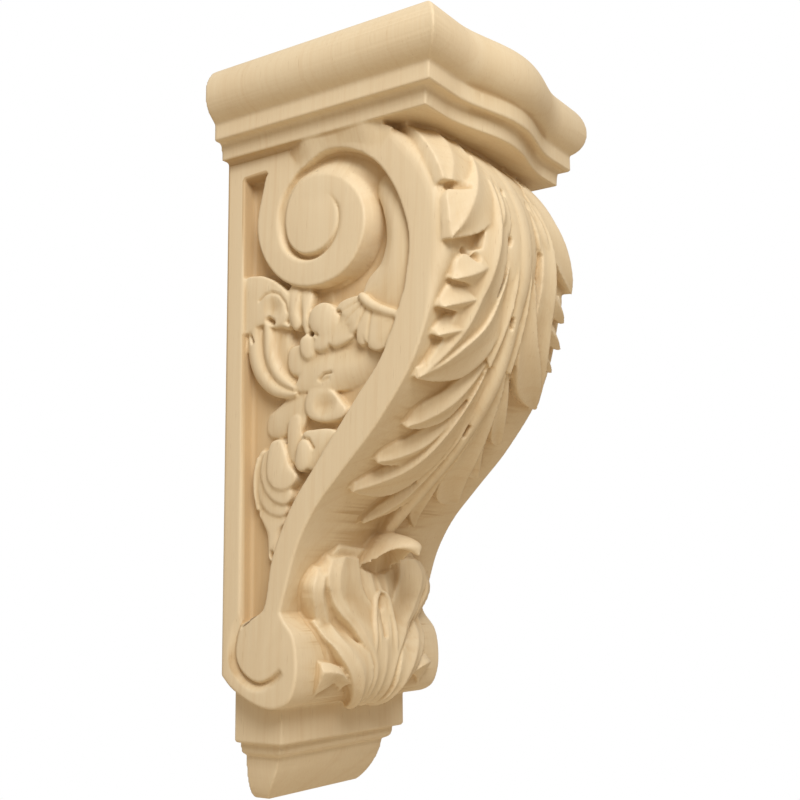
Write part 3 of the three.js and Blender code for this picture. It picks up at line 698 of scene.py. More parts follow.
# Flat-topped pieces of the side foliage: outline in depth and height, lift of the edge and of the middle, and how
# much the lift grows per millimetre outward and upward
SIDE_PADS = (
    # the plain curl under the volute and the two tongues beside it
    ([(10, 221.5), (10, 246), (18, 248.5), (26, 246), (33, 241.5), (38, 236), (38.5, 229), (37, 224),
      (33, 221.6), (29, 221), (24, 223), (18.5, 222.5), (14, 221)], 6.8, 7.3, (0, 0)),
    ([(37.6, 240), (37.3, 226), (39, 221.5), (41.8, 218.2), (44.8, 220.5), (45.2, 228), (45, 239)], 6, 7.4, (0, -0.06)),
    ([(45.5, 238), (45.3, 224), (46.2, 219), (48.4, 215.3), (50.6, 217.5), (50.8, 225), (51.5, 235)],
     5.8, 7, (0, -0.06)),
    # the scalloped leaf in the middle
    ([(53, 214), (52.6, 209.6), (54.5, 207), (58, 206), (61.4, 207), (62.8, 208.6), (65, 207), (70, 207.6), (76, 211),
      (74, 218), (60, 218)], 7.2, 7.8, (0, 0)),
    ([(50.4, 221), (52, 226.5), (57.5, 229.2), (63, 227.8), (67.2, 223), (69, 216), (65, 210.5), (58, 210),
      (54.6, 213.6), (51.8, 216.5)], 7.2, 8.2, (0, 0)),
    # the husk with its scallops
    ([(79.5, 229.5), (74, 229.3), (69, 228), (66.6, 225.5), (67.2, 223.6), (69.3, 222.6), (68.2, 219.4), (69.6, 217.4),
      (72, 218.2), (71.8, 213), (74.5, 211), (77.6, 212.4), (78, 208), (81, 205.8), (84.3, 207.6), (84.6, 204.5),
      (86.4, 203.4), (89.5, 202.4), (93, 203.4), (96, 207), (97, 211), (98.5, 217), (92, 221), (87, 223), (82, 227)],
     7, 8, (0, 0)),
    # the big leaf, its scoop and the piece behind them
    ([(45, 211), (46, 213.8), (49, 214.8), (53, 212.6), (54, 206), (50, 203), (46, 206)], 7.2, 7.6, (0, 0)),
    ([(37, 209), (41, 211.3), (46, 210.6), (54, 207.5), (60, 206.3), (64, 203), (64, 194), (60, 188.4), (52, 188.2),
      (44, 188.4), (40.4, 190.6), (42.6, 195.4), (39, 197.6), (36.4, 202)], 5, 5.8, (0, 0)),
    ([(28, 183), (38, 188), (47, 188), (47, 178), (43, 169.6), (36, 170), (31, 168.4), (25, 168.6), (21, 172),
      (22, 179)], 2.6, 3.6, (0.1, 0.02)),
    ([(50, 190), (47.2, 185), (46.9, 180), (49, 176.2), (54, 173.9), (61, 173.2), (68, 174.4), (70.5, 178), (67, 182.5),
      (63, 187), (56, 191)], 5, 5.6, (-0.02, 0)),
    # the curl against the scroll
    ([(46, 168.6), (53, 170.2), (62, 169.8), (66.5, 167), (63, 161), (57, 155.5), (51, 151.5), (46, 156)],
     6, 6.8, (0.02, 0)),
    ([(43, 160), (44.6, 164.6), (48, 166.2), (52, 164), (53, 159), (50.6, 153.4), (46, 151), (42.6, 154)],
     7.2, 8, (0, 0)),
    ([(35.8, 171), (36, 163), (37.5, 158), (40.6, 155), (44, 157.4), (45, 163), (44.6, 170), (43, 178), (38, 177)],
     4.6, 5.2, (0.03, 0)),
    # the shingled leaf at the foot of the panel
    ([(18, 134), (20, 129.6), (22.4, 124.6), (23.7, 118), (24, 112.4), (26, 110.4), (28.2, 113.4), (29.8, 119),
      (31.2, 125.4), (34, 129), (33.5, 133.5), (26, 137)], 3.2, 3.8, (0, 0)),
    ([(18, 163), (15.6, 156), (15.2, 147), (16.2, 139), (18.4, 132.4), (22, 134), (23, 142), (23, 151), (23, 161)],
     2.6, 3.8, (0.08, 0)),
    ([(18.6, 158), (17.6, 148), (18.6, 141), (20.6, 136.9), (24, 133.4), (28.5, 131.7), (33.6, 131.3), (36.4, 135),
      (33, 142), (26, 150), (24, 159)], 4, 4.4, (0, -0.05)),
    ([(22, 162), (20, 153), (21.3, 147), (24, 142.6), (28, 138.9), (32, 137.1), (36.6, 136.8), (39.6, 141), (37, 148),
      (31, 156), (28, 163)], 5.2, 5.5, (0, -0.05)),
    ([(27, 166), (25, 158), (25, 150.6), (27, 146.4), (30.6, 143.8), (36, 143), (40.4, 145), (43, 149.5), (38.4, 155),
      (36, 161), (33, 167)], 6.4, 6.8, (0, -0.04)),
)

# Ridges of the side foliage: spine, half widths and lifts of the near edge, crest and far edge
SIDE_RIDGES = (
    # the two crescents at the left and the lip of the curl
    ([(16.8, 224), (16.6, 214), (18.3, 206), (22, 198.6), (28, 192.6), (35, 189.4), (42, 188)],
     even(3.6, 4.4, 4.6, 4.4, 3.8, 2.8, 1.2), [(5.2, 7, 5), (5.2, 7, 4.4), (4.4, 5.6, 3)]),
    ([(24.6, 227), (25.4, 217), (26.2, 209), (29, 201.6), (34, 195.4), (41.6, 190.6)], even(3.2, 4.4, 4.6, 4.4, 3.6, 2),
     [(4.4, 7, 3.4), (4.4, 7, 3), (4, 6, 3)]),
    ([(30, 221.6), (34, 222.4), (38, 220.6)], even(1.6, 2.4, 1.4), [(4, 6.6, 3), (4, 6.6, 3)]),
    # the stem that runs down inside the scroll and swells into the husk
    ([(93.4, 215), (94, 223), (95, 232), (97.5, 241), (99, 252), (98.5, 262), (95.5, 272), (90, 281), (83, 287)],
     [(10, 10), (10, 16), (9.6, 14), (8.6, 9), (8, 7), (8, 6.8), (8, 6.5), (6, 5.5), (3, 3)],
     [(4.6, 5.4, 4.4), (4.6, 5.4, 4.4), (4.6, 5.6, 4), (4.6, 5.8, 3.2), (4.6, 5.6, 2.8), (4.2, 5.2, 2.4), (3.2, 4, 1.6),
      (1, 1.6, 0), (-3, -2.4, -3)]),
    # the slope between the second crescent and the middle leaf, and the long side of the big leaf
    ([(33, 222), (33.4, 214), (35, 206), (38.4, 199), (43, 193)], even(3, 5, 5.4, 4, 2),
     [(5, 3.4, 0.8), (5, 3.4, 0.8), (4, 3, 0.6)]),
    ([(48, 197.4), (58, 197.6), (68, 198.6), (77, 200.8), (86, 204.6), (92, 208)],
     [(7, 9), (9.6, 9), (11, 10), (10, 9), (7, 6), (4, 4)],
     [(5, 5.6, 4.6), (4.4, 6, 4.6), (1.2, 5.2, 4.6), (0.4, 4, 4.2), (0.2, 2.8, 3.6), (0.2, 2, 2.6)]),
)

# Beads that follow a line on each surface: points of the line with their lift and half width
BEADS = {
    "side": (
        [(80.4, 229.6, 6.6, 1.6), (82.6, 227.4, 6.8, 2.4), (86.4, 224, 6.8, 2.5), (92, 220.9, 6.6, 2.4),
         (101, 217.4, 6, 2)],
        [(17.4, 160, 3, 0.8), (15.9, 152, 3, 1.1), (15.8, 144, 3, 1.1), (17.4, 135, 3, 0.8)],
    ),
    "lower": (
        [(1, 33.4, 6.2, 1.2), (4.6, 35.6, 6.6, 1.5), (6.4, 42, 7.1, 1.6), (7.8, 50, 7, 1.6), (8.6, 58, 6.7, 1.4),
         (9.4, 66, 6, 1)],
    ),
}

# Steps of a pad from its edge to its middle: how far its outline moves in, its size, how far it has risen from the
# lift of the edge (0) to that of the crown (1), and how much it still lies below that
PAD_STEPS = (
    (0, 1, 0, 1.1), (0.3, 1, 0, 0.35), (0.9, 1, 0, 0), (0.9, 0.7, 0.6, 0), (0.9, 0.4, 0.9, 0), (0, 0.15, 1, 0),
)


def pad(shells, place, outline, edge, crown, tilt):
    """One flat-topped piece with a steep rounded edge"""
    around = np.asarray(outline, float)
    closed = np.vstack([around, around[:1]])
    count = len(around)
    at = np.linspace(0, count, 8 * count + 1)[:-1]
    i = at.astype(int)
    line = curve(around[i - 1], around[i], closed[i + 1], around[(i + 2) % count], (at - i)[:, None])
    middle = line.mean(0)
    toward = unit(middle - line)
    rings = [place(*line.T, -ROOT)]
    for inset, size, risen, below in PAD_STEPS:
        ring = middle + (line + toward * inset - middle) * size
        lift = mixed(edge, crown, risen) - below + (ring - middle) @ np.asarray(tilt, float)
        rings.append(place(*ring.T, lift))
    shells.loft(rings)


def side_foliage(shells, layout, sign):
    """The scrolling foliage of one side"""
    place = layout.surface("side", sign)
    for piece in SIDE_PADS:
        pad(shells, place, *piece)
    for ridge in SIDE_RIDGES:
        lobe(shells, place, *ridge)


# Drill holes, knife lines and dishes in each surface: their points, their half width and their depth
TOOL_MARKS = {
    "side": (
        ([(26, 225.4), (28.6, 223.6)], 2.1, 3.8),
        ([(29, 230.6), (29.2, 231)], 6.4, 1.1),
        ([(20.6, 235.4), (24, 238), (28, 238.8), (32.6, 237), (36.6, 232), (37.4, 228)], 0.9, 1),
        ([(14.8, 218.6), (16.2, 215.6)], 1.3, 2.2),
        ([(12, 80.6), (16, 83.2), (21.6, 86.4)], 0.9, 1.6),
        ([(55.6, 193.2), (58.6, 195.4), (62.6, 195.8)], 0.9, 1.6),
        ([(57, 192.6), (60.6, 193.6)], 1.5, 0.8),
        ([(26, 114.5), (26.2, 112.6)], 1.7, 2.4),
        ([(67, 223.6), (68.8, 223)], 1, 1.6),
        ([(46.4, 166.8), (50.4, 165.8), (53.4, 161.6)], 0.9, 1.5),
        ([(50.4, 218.6), (52.4, 215.8), (56, 213.8)], 1.1, 0.9),
        ([(52, 214.2), (54, 211.6)], 1, 0.6),
        ([(69.4, 222.6), (74, 224.6), (80, 227)], 1, 0.5),
        ([(72, 218.2), (76.6, 221.6), (81.5, 225)], 1, 0.5),
        ([(77.8, 212.4), (80.4, 217.4), (83.5, 222.5)], 1, 0.6),
        ([(84.4, 207.4), (85.4, 213), (87, 220.5)], 1, 0.6),
        ([(58, 181.4), (60, 181.8)], 7, 1.6),
    ),
    "front": (
        ([(12, 66), (12.4, 68)], 1.3, 3),
        ([(13, 88), (13.4, 90)], 1.6, 3),
        ([(54, 73), (46, 72)], 3.4, 1.6),
        ([(45, 100), (40, 101)], 3, 3),
        ([(57, 99.6), (50, 99)], 3, 0.4),
        ([(51, 114.6), (45, 113.4)], 3, 0.4),
        ([(55, 127.6), (49, 127)], 3, 0.4),
        ([(53, 139.8), (47, 139)], 3, 0.4),
        ([(3.4, 121), (3, 125)], 1.3, 3.4),
        ([(3.4, 172), (3, 177)], 1.3, 3.4),
    ),
    "lower": (
        ([(0, 36), (0, 41)], 3, 3),
        ([(0, 41), (0, 56)], 2.4, 1.2),
    ),
}


def mark(points, normals, line, half, depth):
    """Pushes the points near a line into the wood"""
    line = np.asarray(line, float)
    near = np.all((points > line.min(0) - half) & (points < line.max(0) + half), axis=1).nonzero()[0]
    if not len(near):
        return
    gap = np.full(len(near), np.inf)
    for start, end in zip(line[:-1], line[1:]):
        along = end - start
        share = np.clip((points[near] - start) @ along / (along @ along), 0, 1)
        gap = np.minimum(gap, np.linalg.norm(points[near] - start - share[:, None] * along, axis=1))
    push = depth * (1 - np.clip(gap / half, 0, 1) ** 2) ** 2
    points[near] -= normals[near] * push[:, None]


def leaf(shells, place, near, ridge, far, root=SHALLOW_ROOT):
    """One leaf between its near and far edge, folded along a ridge. Each line is (across, along, lift) points."""
    rings = []
    for edge, crest, under in zip(*(smooth_line(points, 30) for points in (near, ridge, far))):
        shares = np.linspace(0, 1, 6)
        first = [mixed(edge, crest, t) + (0, 0, -0.5 * math.sin(math.pi * t)) for t in shares]
        second = [mixed(crest, under, t) + (0, 0, -0.8 * math.sin(math.pi * t)) for t in shares[1:]]
        ring = np.array([(*edge[:2], -root), *first, *second, (*under[:2], -root)])
        rings.append(place(*ring.T))
    shells.loft(rings)


def middle_strip(shells, layout, line, fall, power):
    """A strip down the middle of the front, from points of (along, half width, lift), that falls off to its edges"""
    across = np.linspace(-1, 1, 41)
    rings = []
    for along, half, lift in smooth_line(line, 120):
        ring = layout.front(across * half, along, lift * (1 - fall * np.abs(across) ** power))
        rings.append(np.vstack([ring, layout.front(np.array([half, -half]), along, -SHALLOW_ROOT)]))
    shells.loft(rings)


def front_leaf(shells, layout):
    """The hanging leaf: a smooth blade with a rib, and toothed petals and folded lobes that fan down and out from it"""
    middle_strip(shells, layout, BLADE, 1, 3)
    middle_strip(shells, layout, RIB, 0.35, 2.5)
    for lines, sign in product(FRONT_LEAVES, (1, -1)):
        leaf(shells, layout.surface("front", sign), *lines)


BLADE = ((0, 54, 4), (20, 54, 7), (40, 52, 8), (55, 44, 8.3), (70, 28, 8.3), (90, 22, 8), (120, 15, 7.4), (160, 9, 6.2),
         (200, 6, 5.5), (244, 3, 4))
RIB = ((20, 12, 7.5), (60, 10, 9), (90, 7, 9.4), (130, 5.5, 9.8), (180, 5, 9.5), (225, 4, 8), (246, 2.5, 5))

# Near edge, ridge and far edge of each leaf of one half of the front: across, along, lift
FRONT_LEAVES = (
    ([(40, 6, 3), (52, 30, 4), (58, 50, 3.5), (60, 71, 2.5)],
     [(28, 8, 7), (38, 35, 8), (46, 55, 7), (56, 71.5, 4)],
     [(16, 12, 8), (24, 40, 8.5), (32, 60, 7.5), (43, 71, 6)]),
    ([(40, 68, 4), (57, 75, 1.5), (60, 86, 1.5), (60, 96, 2.5)],
     [(26, 50, 9), (42, 73, 9), (53, 88, 6.5), (60, 97, 3.5)],
     [(18, 60, 8.5), (26, 78, 7.5), (38, 90, 6), (60, 98, 3.2)]),
    ([(19, 58, 6.5), (27, 77, 7.5), (30, 84, 6.5), (30, 89, 5.5)],
     [(16, 56, 7), (20, 76, 9.5), (24, 86, 8.5), (28, 91, 7)],
     [(12, 58, 7), (13, 78, 8.5), (17, 88, 7.5), (28, 92, 6.5)]),
    ([(31, 74, 6), (34, 86, 5.5), (37, 99, 5), (42, 116, 4.5), (47, 132, 4.5), (53, 150, 3.5)],
     [(23, 64, 8.6), (26, 82, 9.8), (29, 98, 9.8), (34, 116, 9.4), (41, 134, 8.6), (54, 154, 5)],
     [(14, 62, 8.2), (17, 82, 8), (18, 98, 7.6), (20, 116, 7.4), (26, 134, 7), (52, 156, 4.4)]),
    ([(30, 95, 4), (37, 97, 4.5), (50, 103, 2), (53, 111, 2)],
     [(28, 101, 6), (35, 104.5, 8), (45, 109, 8), (54, 113, 5.6)],
     [(26, 108, 5), (32, 111, 6), (38, 112.5, 6), (54, 113.5, 4.8)]),
    ([(28, 107, 3), (36, 110, 3), (50, 114, 1.5), (57, 124, 1.5)],
     [(26, 112, 5.5), (35, 117.6, 7.8), (47, 122, 7.8), (57, 126, 5.6)],
     [(24, 119, 5), (32, 122.5, 6), (42, 125.5, 5.5), (57, 126.5, 4.8)]),
    ([(28, 118, 3), (34, 122, 3), (48, 128, 1.5), (55, 136, 1.5)],
     [(26, 124, 5.5), (33, 129.6, 7.8), (45, 134, 7.8), (55, 138, 5.6)],
     [(24, 131, 5), (30, 134, 6), (40, 137.5, 5.5), (55, 138.5, 4.8)]),
    ([(14, 112, 4), (30, 134, 4), (46, 142, 2), (56, 154, 2)],
     [(12, 96, 6), (23, 124, 9.5), (40, 142, 8.5), (56, 157, 4.5)],
     [(9, 104, 6), (12, 134, 8), (24, 150, 6.5), (40, 156, 5.5), (56, 158, 4)]),
    ([(9, 88, 4.5), (11, 116, 7), (14, 140, 6.5)],
     [(6, 86, 6), (7, 116, 10), (10, 145, 8)],
     [(3, 88, 6), (3, 118, 8), (5, 143, 7)]),
    ([(11, 138, 3.6), (28, 158, 3), (40, 170, 1), (43, 178, 1.5)],
     [(9, 141, 5.5), (23, 161, 7.6), (36, 174, 6.4), (44, 180, 4.5)],
     [(8, 148, 5), (20, 170, 6.5), (32, 179, 5), (44, 181, 4)]),
    ([(11, 156, 3.6), (28, 180, 2.5), (42, 192, 1), (46, 198, 1.5)],
     [(9, 157, 5.5), (23, 182, 7.6), (36, 194, 6.4), (46, 200, 4.5)],
     [(8, 167, 5), (20, 192, 6), (34, 200, 5), (46, 201, 4)]),
    ([(10, 168, 4), (24, 192, 3), (38, 206, 1.5), (47, 215, 2)],
     [(8, 138, 6), (18, 177, 9.2), (28, 200, 8.5), (47, 218, 4)],
     [(6, 146, 6), (7, 184, 8), (12, 208, 6.5), (26, 218, 5.5), (47, 219, 3.5)]),
    ([(8, 150, 4.5), (8, 182, 6.5), (11, 204, 6)],
     [(5, 148, 6), (5, 182, 9), (8, 208, 7)],
     [(2, 150, 6), (2, 184, 7), (4, 207, 6)]),
    ([(8, 205, 5), (14, 218, 4), (20, 228, 2), (23, 234, 2)],
     [(5, 195, 8), (10, 215, 8), (16, 228, 6), (23, 236, 3.5)],
     [(2, 200, 7.5), (4, 215, 7), (8, 227, 5), (23, 236.5, 3)]),
)


# The same for one half of the leaf over the roll: its upper margin, the broad fold, the strand over the roll, the
# tongue in the middle and the small rolled lobe
LOWER_LEAVES = (
    ([(45, 23, -1), (48, 26, 1.4), (50, 30, 2.6), (50, 33, 3), (49, 37, 3), (47, 41, 2), (44, 46, 0)],
     [(40, 22, 0), (43.6, 26, 3.2), (45, 30, 4.6), (45, 34, 4.8), (43, 39, 4.2), (40, 44, 2.8), (36, 50, 0.8)],
     [(34, 22, -1), (36.4, 26, 1.8), (36, 30, 2.5), (35, 35, 2.6), (32, 40, 2.2), (28, 46, 1.4), (24, 52, 0.6)]),
    ([(38, 18, 0.5), (42, 23, 3.6), (41.5, 30, 5.2), (39, 35, 5.6), (36.5, 40, 6), (32.5, 45, 6.2), (28, 49, 6.2),
      (24, 52.5, 6.2), (20, 57, 6.4), (15, 62, 6.6), (12, 68, 6.6), (12, 76, 6.2), (12, 84, 5)],
     [(30, 16, 1), (35, 22, 4.8), (35, 30, 6.6), (33, 36, 7), (30, 41, 7.4), (26, 46, 7.6), (22, 50, 7.6),
      (18, 55, 7.6), (13, 61, 7.6), (9, 67, 7.6), (7, 73, 7.4), (7, 80, 6.8), (6, 88, 5)],
     [(18, 17, 1), (17, 24, 4), (15.5, 29, 5), (13, 34, 6), (9, 40, 6.8), (5, 46, 7.2), (2, 52, 7.4), (0, 58, 7.5),
      (-0.5, 64, 7.5), (-0.5, 70, 7.3), (-0.5, 77, 6.8), (-0.5, 84, 5.8), (-0.5, 90, 4.5)]),
    ([(45, 47, -1), (42.5, 55, 2), (38.5, 60, 4.6), (34.5, 65, 6), (30.5, 69, 6.6), (26.5, 73, 6.8), (22, 78, 6.6),
      (17, 84, 5.6), (11, 91, 4)],
     [(36, 46, 0), (34, 54, 3.4), (30, 60, 6.4), (26, 65, 8), (22.5, 69, 8.8), (19.5, 73, 9), (17, 78, 8.8),
      (13.5, 84, 7.6), (9, 91, 5)],
     [(28, 48, -1), (24, 55, 2), (18.5, 60, 5.4), (14.5, 64, 7), (12, 68, 7.8), (11, 72, 8.2), (11, 77, 8),
      (10.5, 83, 7), (6, 91, 4.6)]),
    ([(45, 66, 1), (40, 66.5, 2.8), (33, 68.6, 3.6), (26, 72, 3)],
     [(46, 70, 4), (40, 70, 6), (33, 71.5, 6.4), (25, 75.5, 5)],
     [(44, 82, 1), (39, 78, 2.4), (33, 76, 2), (25, 80, 1.5)]),
    ([(19, 22, 0), (16, 32, 4), (12, 42, 6.4), (8.4, 52, 7.2), (7, 62, 6.6)],
     [(6, 24, 2), (5.8, 33, 6.4), (5.2, 42, 7.6), (4.6, 52, 7.8), (3.6, 62, 7)],
     [(-0.5, 26, 2), (-0.5, 33, 6.6), (-0.5, 42, 7.6), (-0.5, 52, 7.7), (-0.5, 62, 7)]),
)

# The tip that curls out over the leaf like a hood: depth, height, half width, half thickness and droop of its sides
HOOD = (
    (36, 119, 15, 5, 20), (42, 121.4, 15.4, 3.6, 21), (48, 122.4, 15.4, 3, 20), (54, 122.4, 14.6, 2.8, 17),
    (59, 121.6, 13, 2.8, 11.6), (64, 120, 10.8, 3, 6.6), (68, 118.2, 8.4, 3.3, 3.4), (71, 116.4, 5.6, 3.3, 1.2),
    (72.4, 115.4, 2.8, 2.2, 0),
)

# The wood under the lower leaf's folds: across, along and lift of its edge
BACKING = ((30, 14, -4), (44, 24, -1), (44, 34, 0.5), (40, 60, 0), (26, 88, -1))
BACKING_CREST = 1.5
# How deep the roots of the folds and of the backing lie, and how much narrower the hood is underneath
FOLD_ROOT, BACKING_ROOT = 10, 12
HOOD_PINCH = 2.3


def lower_leaf(shells, layout):
    """The leaf that climbs over the roll, with its middle tip curled out to the front"""
    for sign in (1, -1):
        place = layout.surface("lower", sign)
        for lines in LOWER_LEAVES:
            leaf(shells, place, *lines, root=FOLD_ROOT)
        crest, middle = ([(x * part, y, z + BACKING_CREST) for x, y, z in BACKING] for part in (0.5, 0))
        leaf(shells, place, BACKING, crest, middle, root=BACKING_ROOT)
    turn = np.linspace(0, 2 * np.pi, 49)[:-1]
    pinched = HOOD_PINCH * (1 - np.sin(turn))
    rings = []
    for depth, up, half, thick, droop in smooth_line(HOOD, 40):
        across = np.cos(turn) * (half - pinched)
        ring_z = up + thick * np.sin(turn) - droop * np.abs(across / half) ** 2.4
        rings.append(np.column_stack([across, np.full(len(turn), -depth), ring_z * HEIGHT / DRAWN_HEIGHT]))
    shells.loft(rings)


# Wood


class Value:
    """A shader socket that adds its Math nodes when it is used in an expression"""

    def __init__(self, tree, socket):
        self.tree = tree
        self.socket = socket

    def math(self, operation, *others):
        node = self.tree.nodes.new("ShaderNodeMath")
        node.operation = operation
        for slot, value in zip(node.inputs, (self, *others)):
            join(self.tree, value, slot)
        return Value(self.tree, node.outputs[0])

    def __add__(self, other):
        return self.math("ADD", other)

    __radd__ = __add__

    def __sub__(self, other):
        return self.math("SUBTRACT", other)

    def __rsub__(self, other):
        return (self * -1) + other

    def __mul__(self, other):
        return self.math("MULTIPLY", other)

    __rmul__ = __mul__

    def clamped(self):
        """The value kept between 0 and 1"""
        return self.math("MAXIMUM", 0.0).math("MINIMUM", 1.0)


def join(tree, value, slot):
    """Links a socket to an input, or writes a plain value there"""
    if isinstance(value, Value):
        tree.links.new(value.socket, slot)
    else:
        slot.default_value = value


class Tree:
    """The node tree of a material or of the world, with one call for each node"""

    def __init__(self, owner):
        owner.use_nodes = True
        self.tree = owner.node_tree
        self.nodes = self.tree.nodes

    def node(self, kind, output=0, settings=None, **inputs):
        made = self.nodes.new(kind)
        for key, value in (settings or {}).items():
            setattr(made, key, value)
        for key, value in inputs.items():
            join(self.tree, value, made.inputs[key.replace("_", " ")])
        return Value(self.tree, made.outputs[output])

    def mixed(self, share, first, second):
        """One colour shaded into another"""
        made = self.nodes.new("ShaderNodeMix")
        made.data_type = "RGBA"
        join(self.tree, share, made.inputs[MIX_SHARE])
        for index, value in ((MIX_FIRST, first), (MIX_SECOND, second)):
            join(self.tree, value if isinstance(value, Value) else (*value, 1.0), made.inputs[index])
        return Value(self.tree, made.outputs[MIX_RESULT])


# The pith of the tree, beside and behind the block, in metres, and how much it leans
PITH, PITH_LEAN = (0.07, 0.19), (0.06, 0.03)
# How fine the wood's figure is, per metre, and how thin its fibres and pores are for their length
WANDER_SCALE, FIBRE_SCALE, BROAD_SCALE, PORE_SCALE = 7.0, 700.0, 60.0, 1300.0
FIBRE_DRAWN, PORE_DRAWN = 0.035, 0.08

# The crack at the foot of one panel, a shallow cut drawn with a painted dark line of shade, in metres: its start from
# the wall and above the foot, the direction it takes towards the front and up, its length, half width and wander, and
# how far from the middle it begins to show
CRACK_START, CRACK_WAY = (0.012, 0.0808), (0.865, 0.502)
CRACK_LENGTH, CRACK_HALF, CRACK_WANDER, CRACK_OUT = 0.0116, 1 / 1500, 0.0015, 0.045
# How fast it fades at its ends
CRACK_FADE = 600.0


def wood_material(wood):
    """Bare sanded hardwood: uneven growth rings about a pith behind the block, fibre streaks, short pores, painted
    shade that darkens the hollows, paler edges and a fine crack at the foot of one panel, its dark line painted shade"""
    material = bpy.data.materials.new("bare_wood")
    tree = Tree(material)
    shader = tree.nodes["Principled BSDF"]
    place = tree.node("ShaderNodeTexCoord", output="Object")
    split = tree.node("ShaderNodeSeparateXYZ", Vector=place).socket.node
    x, y, z = (Value(tree.tree, split.outputs[k]) for k in range(3))

    wander = tree.node("ShaderNodeTexNoise", Vector=place, Scale=WANDER_SCALE, Detail=2.0)
    from_pith_x = x - PITH[0] + z * PITH_LEAN[0]
    from_pith_y = y - PITH[1] + z * PITH_LEAN[1]
    reach = (from_pith_x * from_pith_x + from_pith_y * from_pith_y).math("SQRT") + wander * 0.014
    band = tree.node("ShaderNodeTexNoise", settings={"noise_dimensions": "1D"}, W=reach * (1000.0 / wood.ring_mm),
                     Scale=1.0, Detail=3.0, Roughness=0.65)
    late = ((band - 0.5) * 2.6).clamped()
    fibre_place = tree.node("ShaderNodeMapping", Vector=place, Scale=(1.0, 1.0, FIBRE_DRAWN))
    fibre = tree.node("ShaderNodeTexNoise", Vector=fibre_place, Scale=FIBRE_SCALE, Detail=3.0, Roughness=0.6)
    broad = tree.node("ShaderNodeTexNoise", Vector=fibre_place, Scale=BROAD_SCALE, Detail=2.0)
    pore_place = tree.node("ShaderNodeMapping", Vector=place, Scale=(1.0, 1.0, PORE_DRAWN))
    pores = tree.node("ShaderNodeTexNoise", Vector=pore_place, Scale=PORE_SCALE, Detail=1.0)
    pore = ((pores - 0.70) * 12.0).clamped()
    tone = (late * 0.5 + (fibre - 0.5) * 0.8 + (broad - 0.5) * 0.7 + 0.3).clamped()

    # How deep each point lies in a hollow, which sets the painted shade in the hollows and the paler edges
    hollow = tree.node("ShaderNodeAttribute", output=2, settings={"attribute_name": "hollow"})
    # Where the crack runs, for its painted dark line of shade
    out, up = y + CRACK_START[0], z + (HEIGHT / 2 * MM - CRACK_START[1])
    along_crack = out * -CRACK_WAY[0] + up * CRACK_WAY[1]
    off_crack = out * CRACK_WAY[1] + up * CRACK_WAY[0] + (wander - 0.5) * CRACK_WANDER
    crack = (1 - off_crack.math("ABSOLUTE") * (1 / CRACK_HALF)).clamped()
    crack = crack * (along_crack * CRACK_FADE).clamped() * ((CRACK_LENGTH - along_crack) * CRACK_FADE).clamped()
    crack = crack * ((-CRACK_OUT - x) * 1000.0).clamped()

    colour = tree.mixed(tone, wood.pale, wood.dark)
    colour = tree.mixed(pore * 0.35, colour, wood.pores)
    # Painted shade: the hollows turn darker and browner where shade would fall
    colour = tree.mixed((hollow * 1.3).clamped() * wood.painted_shade_strength, colour, wood.hollow)
    colour = tree.mixed((hollow * -1.8).clamped() * 0.22, colour, wood.edges)
    # Painted shade: a near-black line along the crack
    colour = tree.mixed(crack * 0.85, colour, wood.crack)
    join(tree.tree, colour, shader.inputs["Base Color"])
    join(tree.tree, (fibre - 0.5) * 0.25 + wood.roughness, shader.inputs["Roughness"])
    bump = tree.node("ShaderNodeBump", Height=fibre - pore * 0.6, Strength=0.12, Distance=0.0003)
    join(tree.tree, bump, shader.inputs["Normal"])
    shader.inputs["Specular IOR Level"].default_value = 0.35
    return material


# Operators


def layout_of(context):
    """The bracket's layout at the sizes that are set"""
    return Layout(context.scene.corbel_shape)


def wood_of(context):
    """The wood, made once"""
    return bpy.data.materials.get("bare_wood") or wood_material(context.scene.corbel_wood)


class CORBEL_OT_block(bpy.types.Operator):
    """Shape the block: cap, scroll, roll and foot, with the sunk panels and the volutes cut into its sides"""

    bl_idname = "corbel.block"
    bl_label = "Shape the Block"

    def execute(self, context):
        layout = layout_of(context)
        block = scrolled_body(layout).to_object(PIECE)
        for name, part in (("roll", lower_roll), ("cap", moulded_cap), ("foot", stepped_foot)):
            combine(block, part(layout).to_object(name), "UNION")
        for sign in (1, -1):
            combine(block, scroll_shoulder(layout, sign).to_object("shoulder"), "UNION")
        for sign in (1, -1):
            for name, part in (("panel", panel_cut), ("channel", channel_cut), ("roll line", roll_cut)):
                combine(block, part(layout, sign).to_object(name), "DIFFERENCE")
        if not block.data.polygons:
            raise RuntimeError("the block came out empty")
        return {"FINISHED"}


class CORBEL_OT_side_foliage(bpy.types.Operator):
    """Set out the scrolling foliage of both side panels"""

    bl_idname = "corbel.side_foliage"
    bl_label = "Carve the Side Foliage"

    def execute(self, context):
        layout, carving = layout_of(context), Shells()
        for sign in (1, -1):
            side_foliage(carving, layout, sign)
        add_beads(carving, layout, "side")
        carving.to_object("side_foliage")
        return {"FINISHED"}


class CORBEL_OT_front_leaf(bpy.types.Operator):
    """Set out the hanging leaf of the front"""

    bl_idname = "corbel.front_leaf"
    bl_label = "Carve the Front Leaf"

    def execute(self, context):
        carving = Shells()
        front_leaf(carving, layout_of(context))
        carving.to_object("front_leaf")
        return {"FINISHED"}


class CORBEL_OT_lower_leaf(bpy.types.Operator):
    """Set out the leaf over the roll, with its curled tip"""

    bl_idname = "corbel.lower_leaf"
    bl_label = "Carve the Lower Leaf"

    def execute(self, context):
        layout, carving = layout_of(context), Shells()
        lower_leaf(carving, layout)
        add_beads(carving, layout, "lower")
        carving.to_object("lower_leaf")
        return {"FINISHED"}


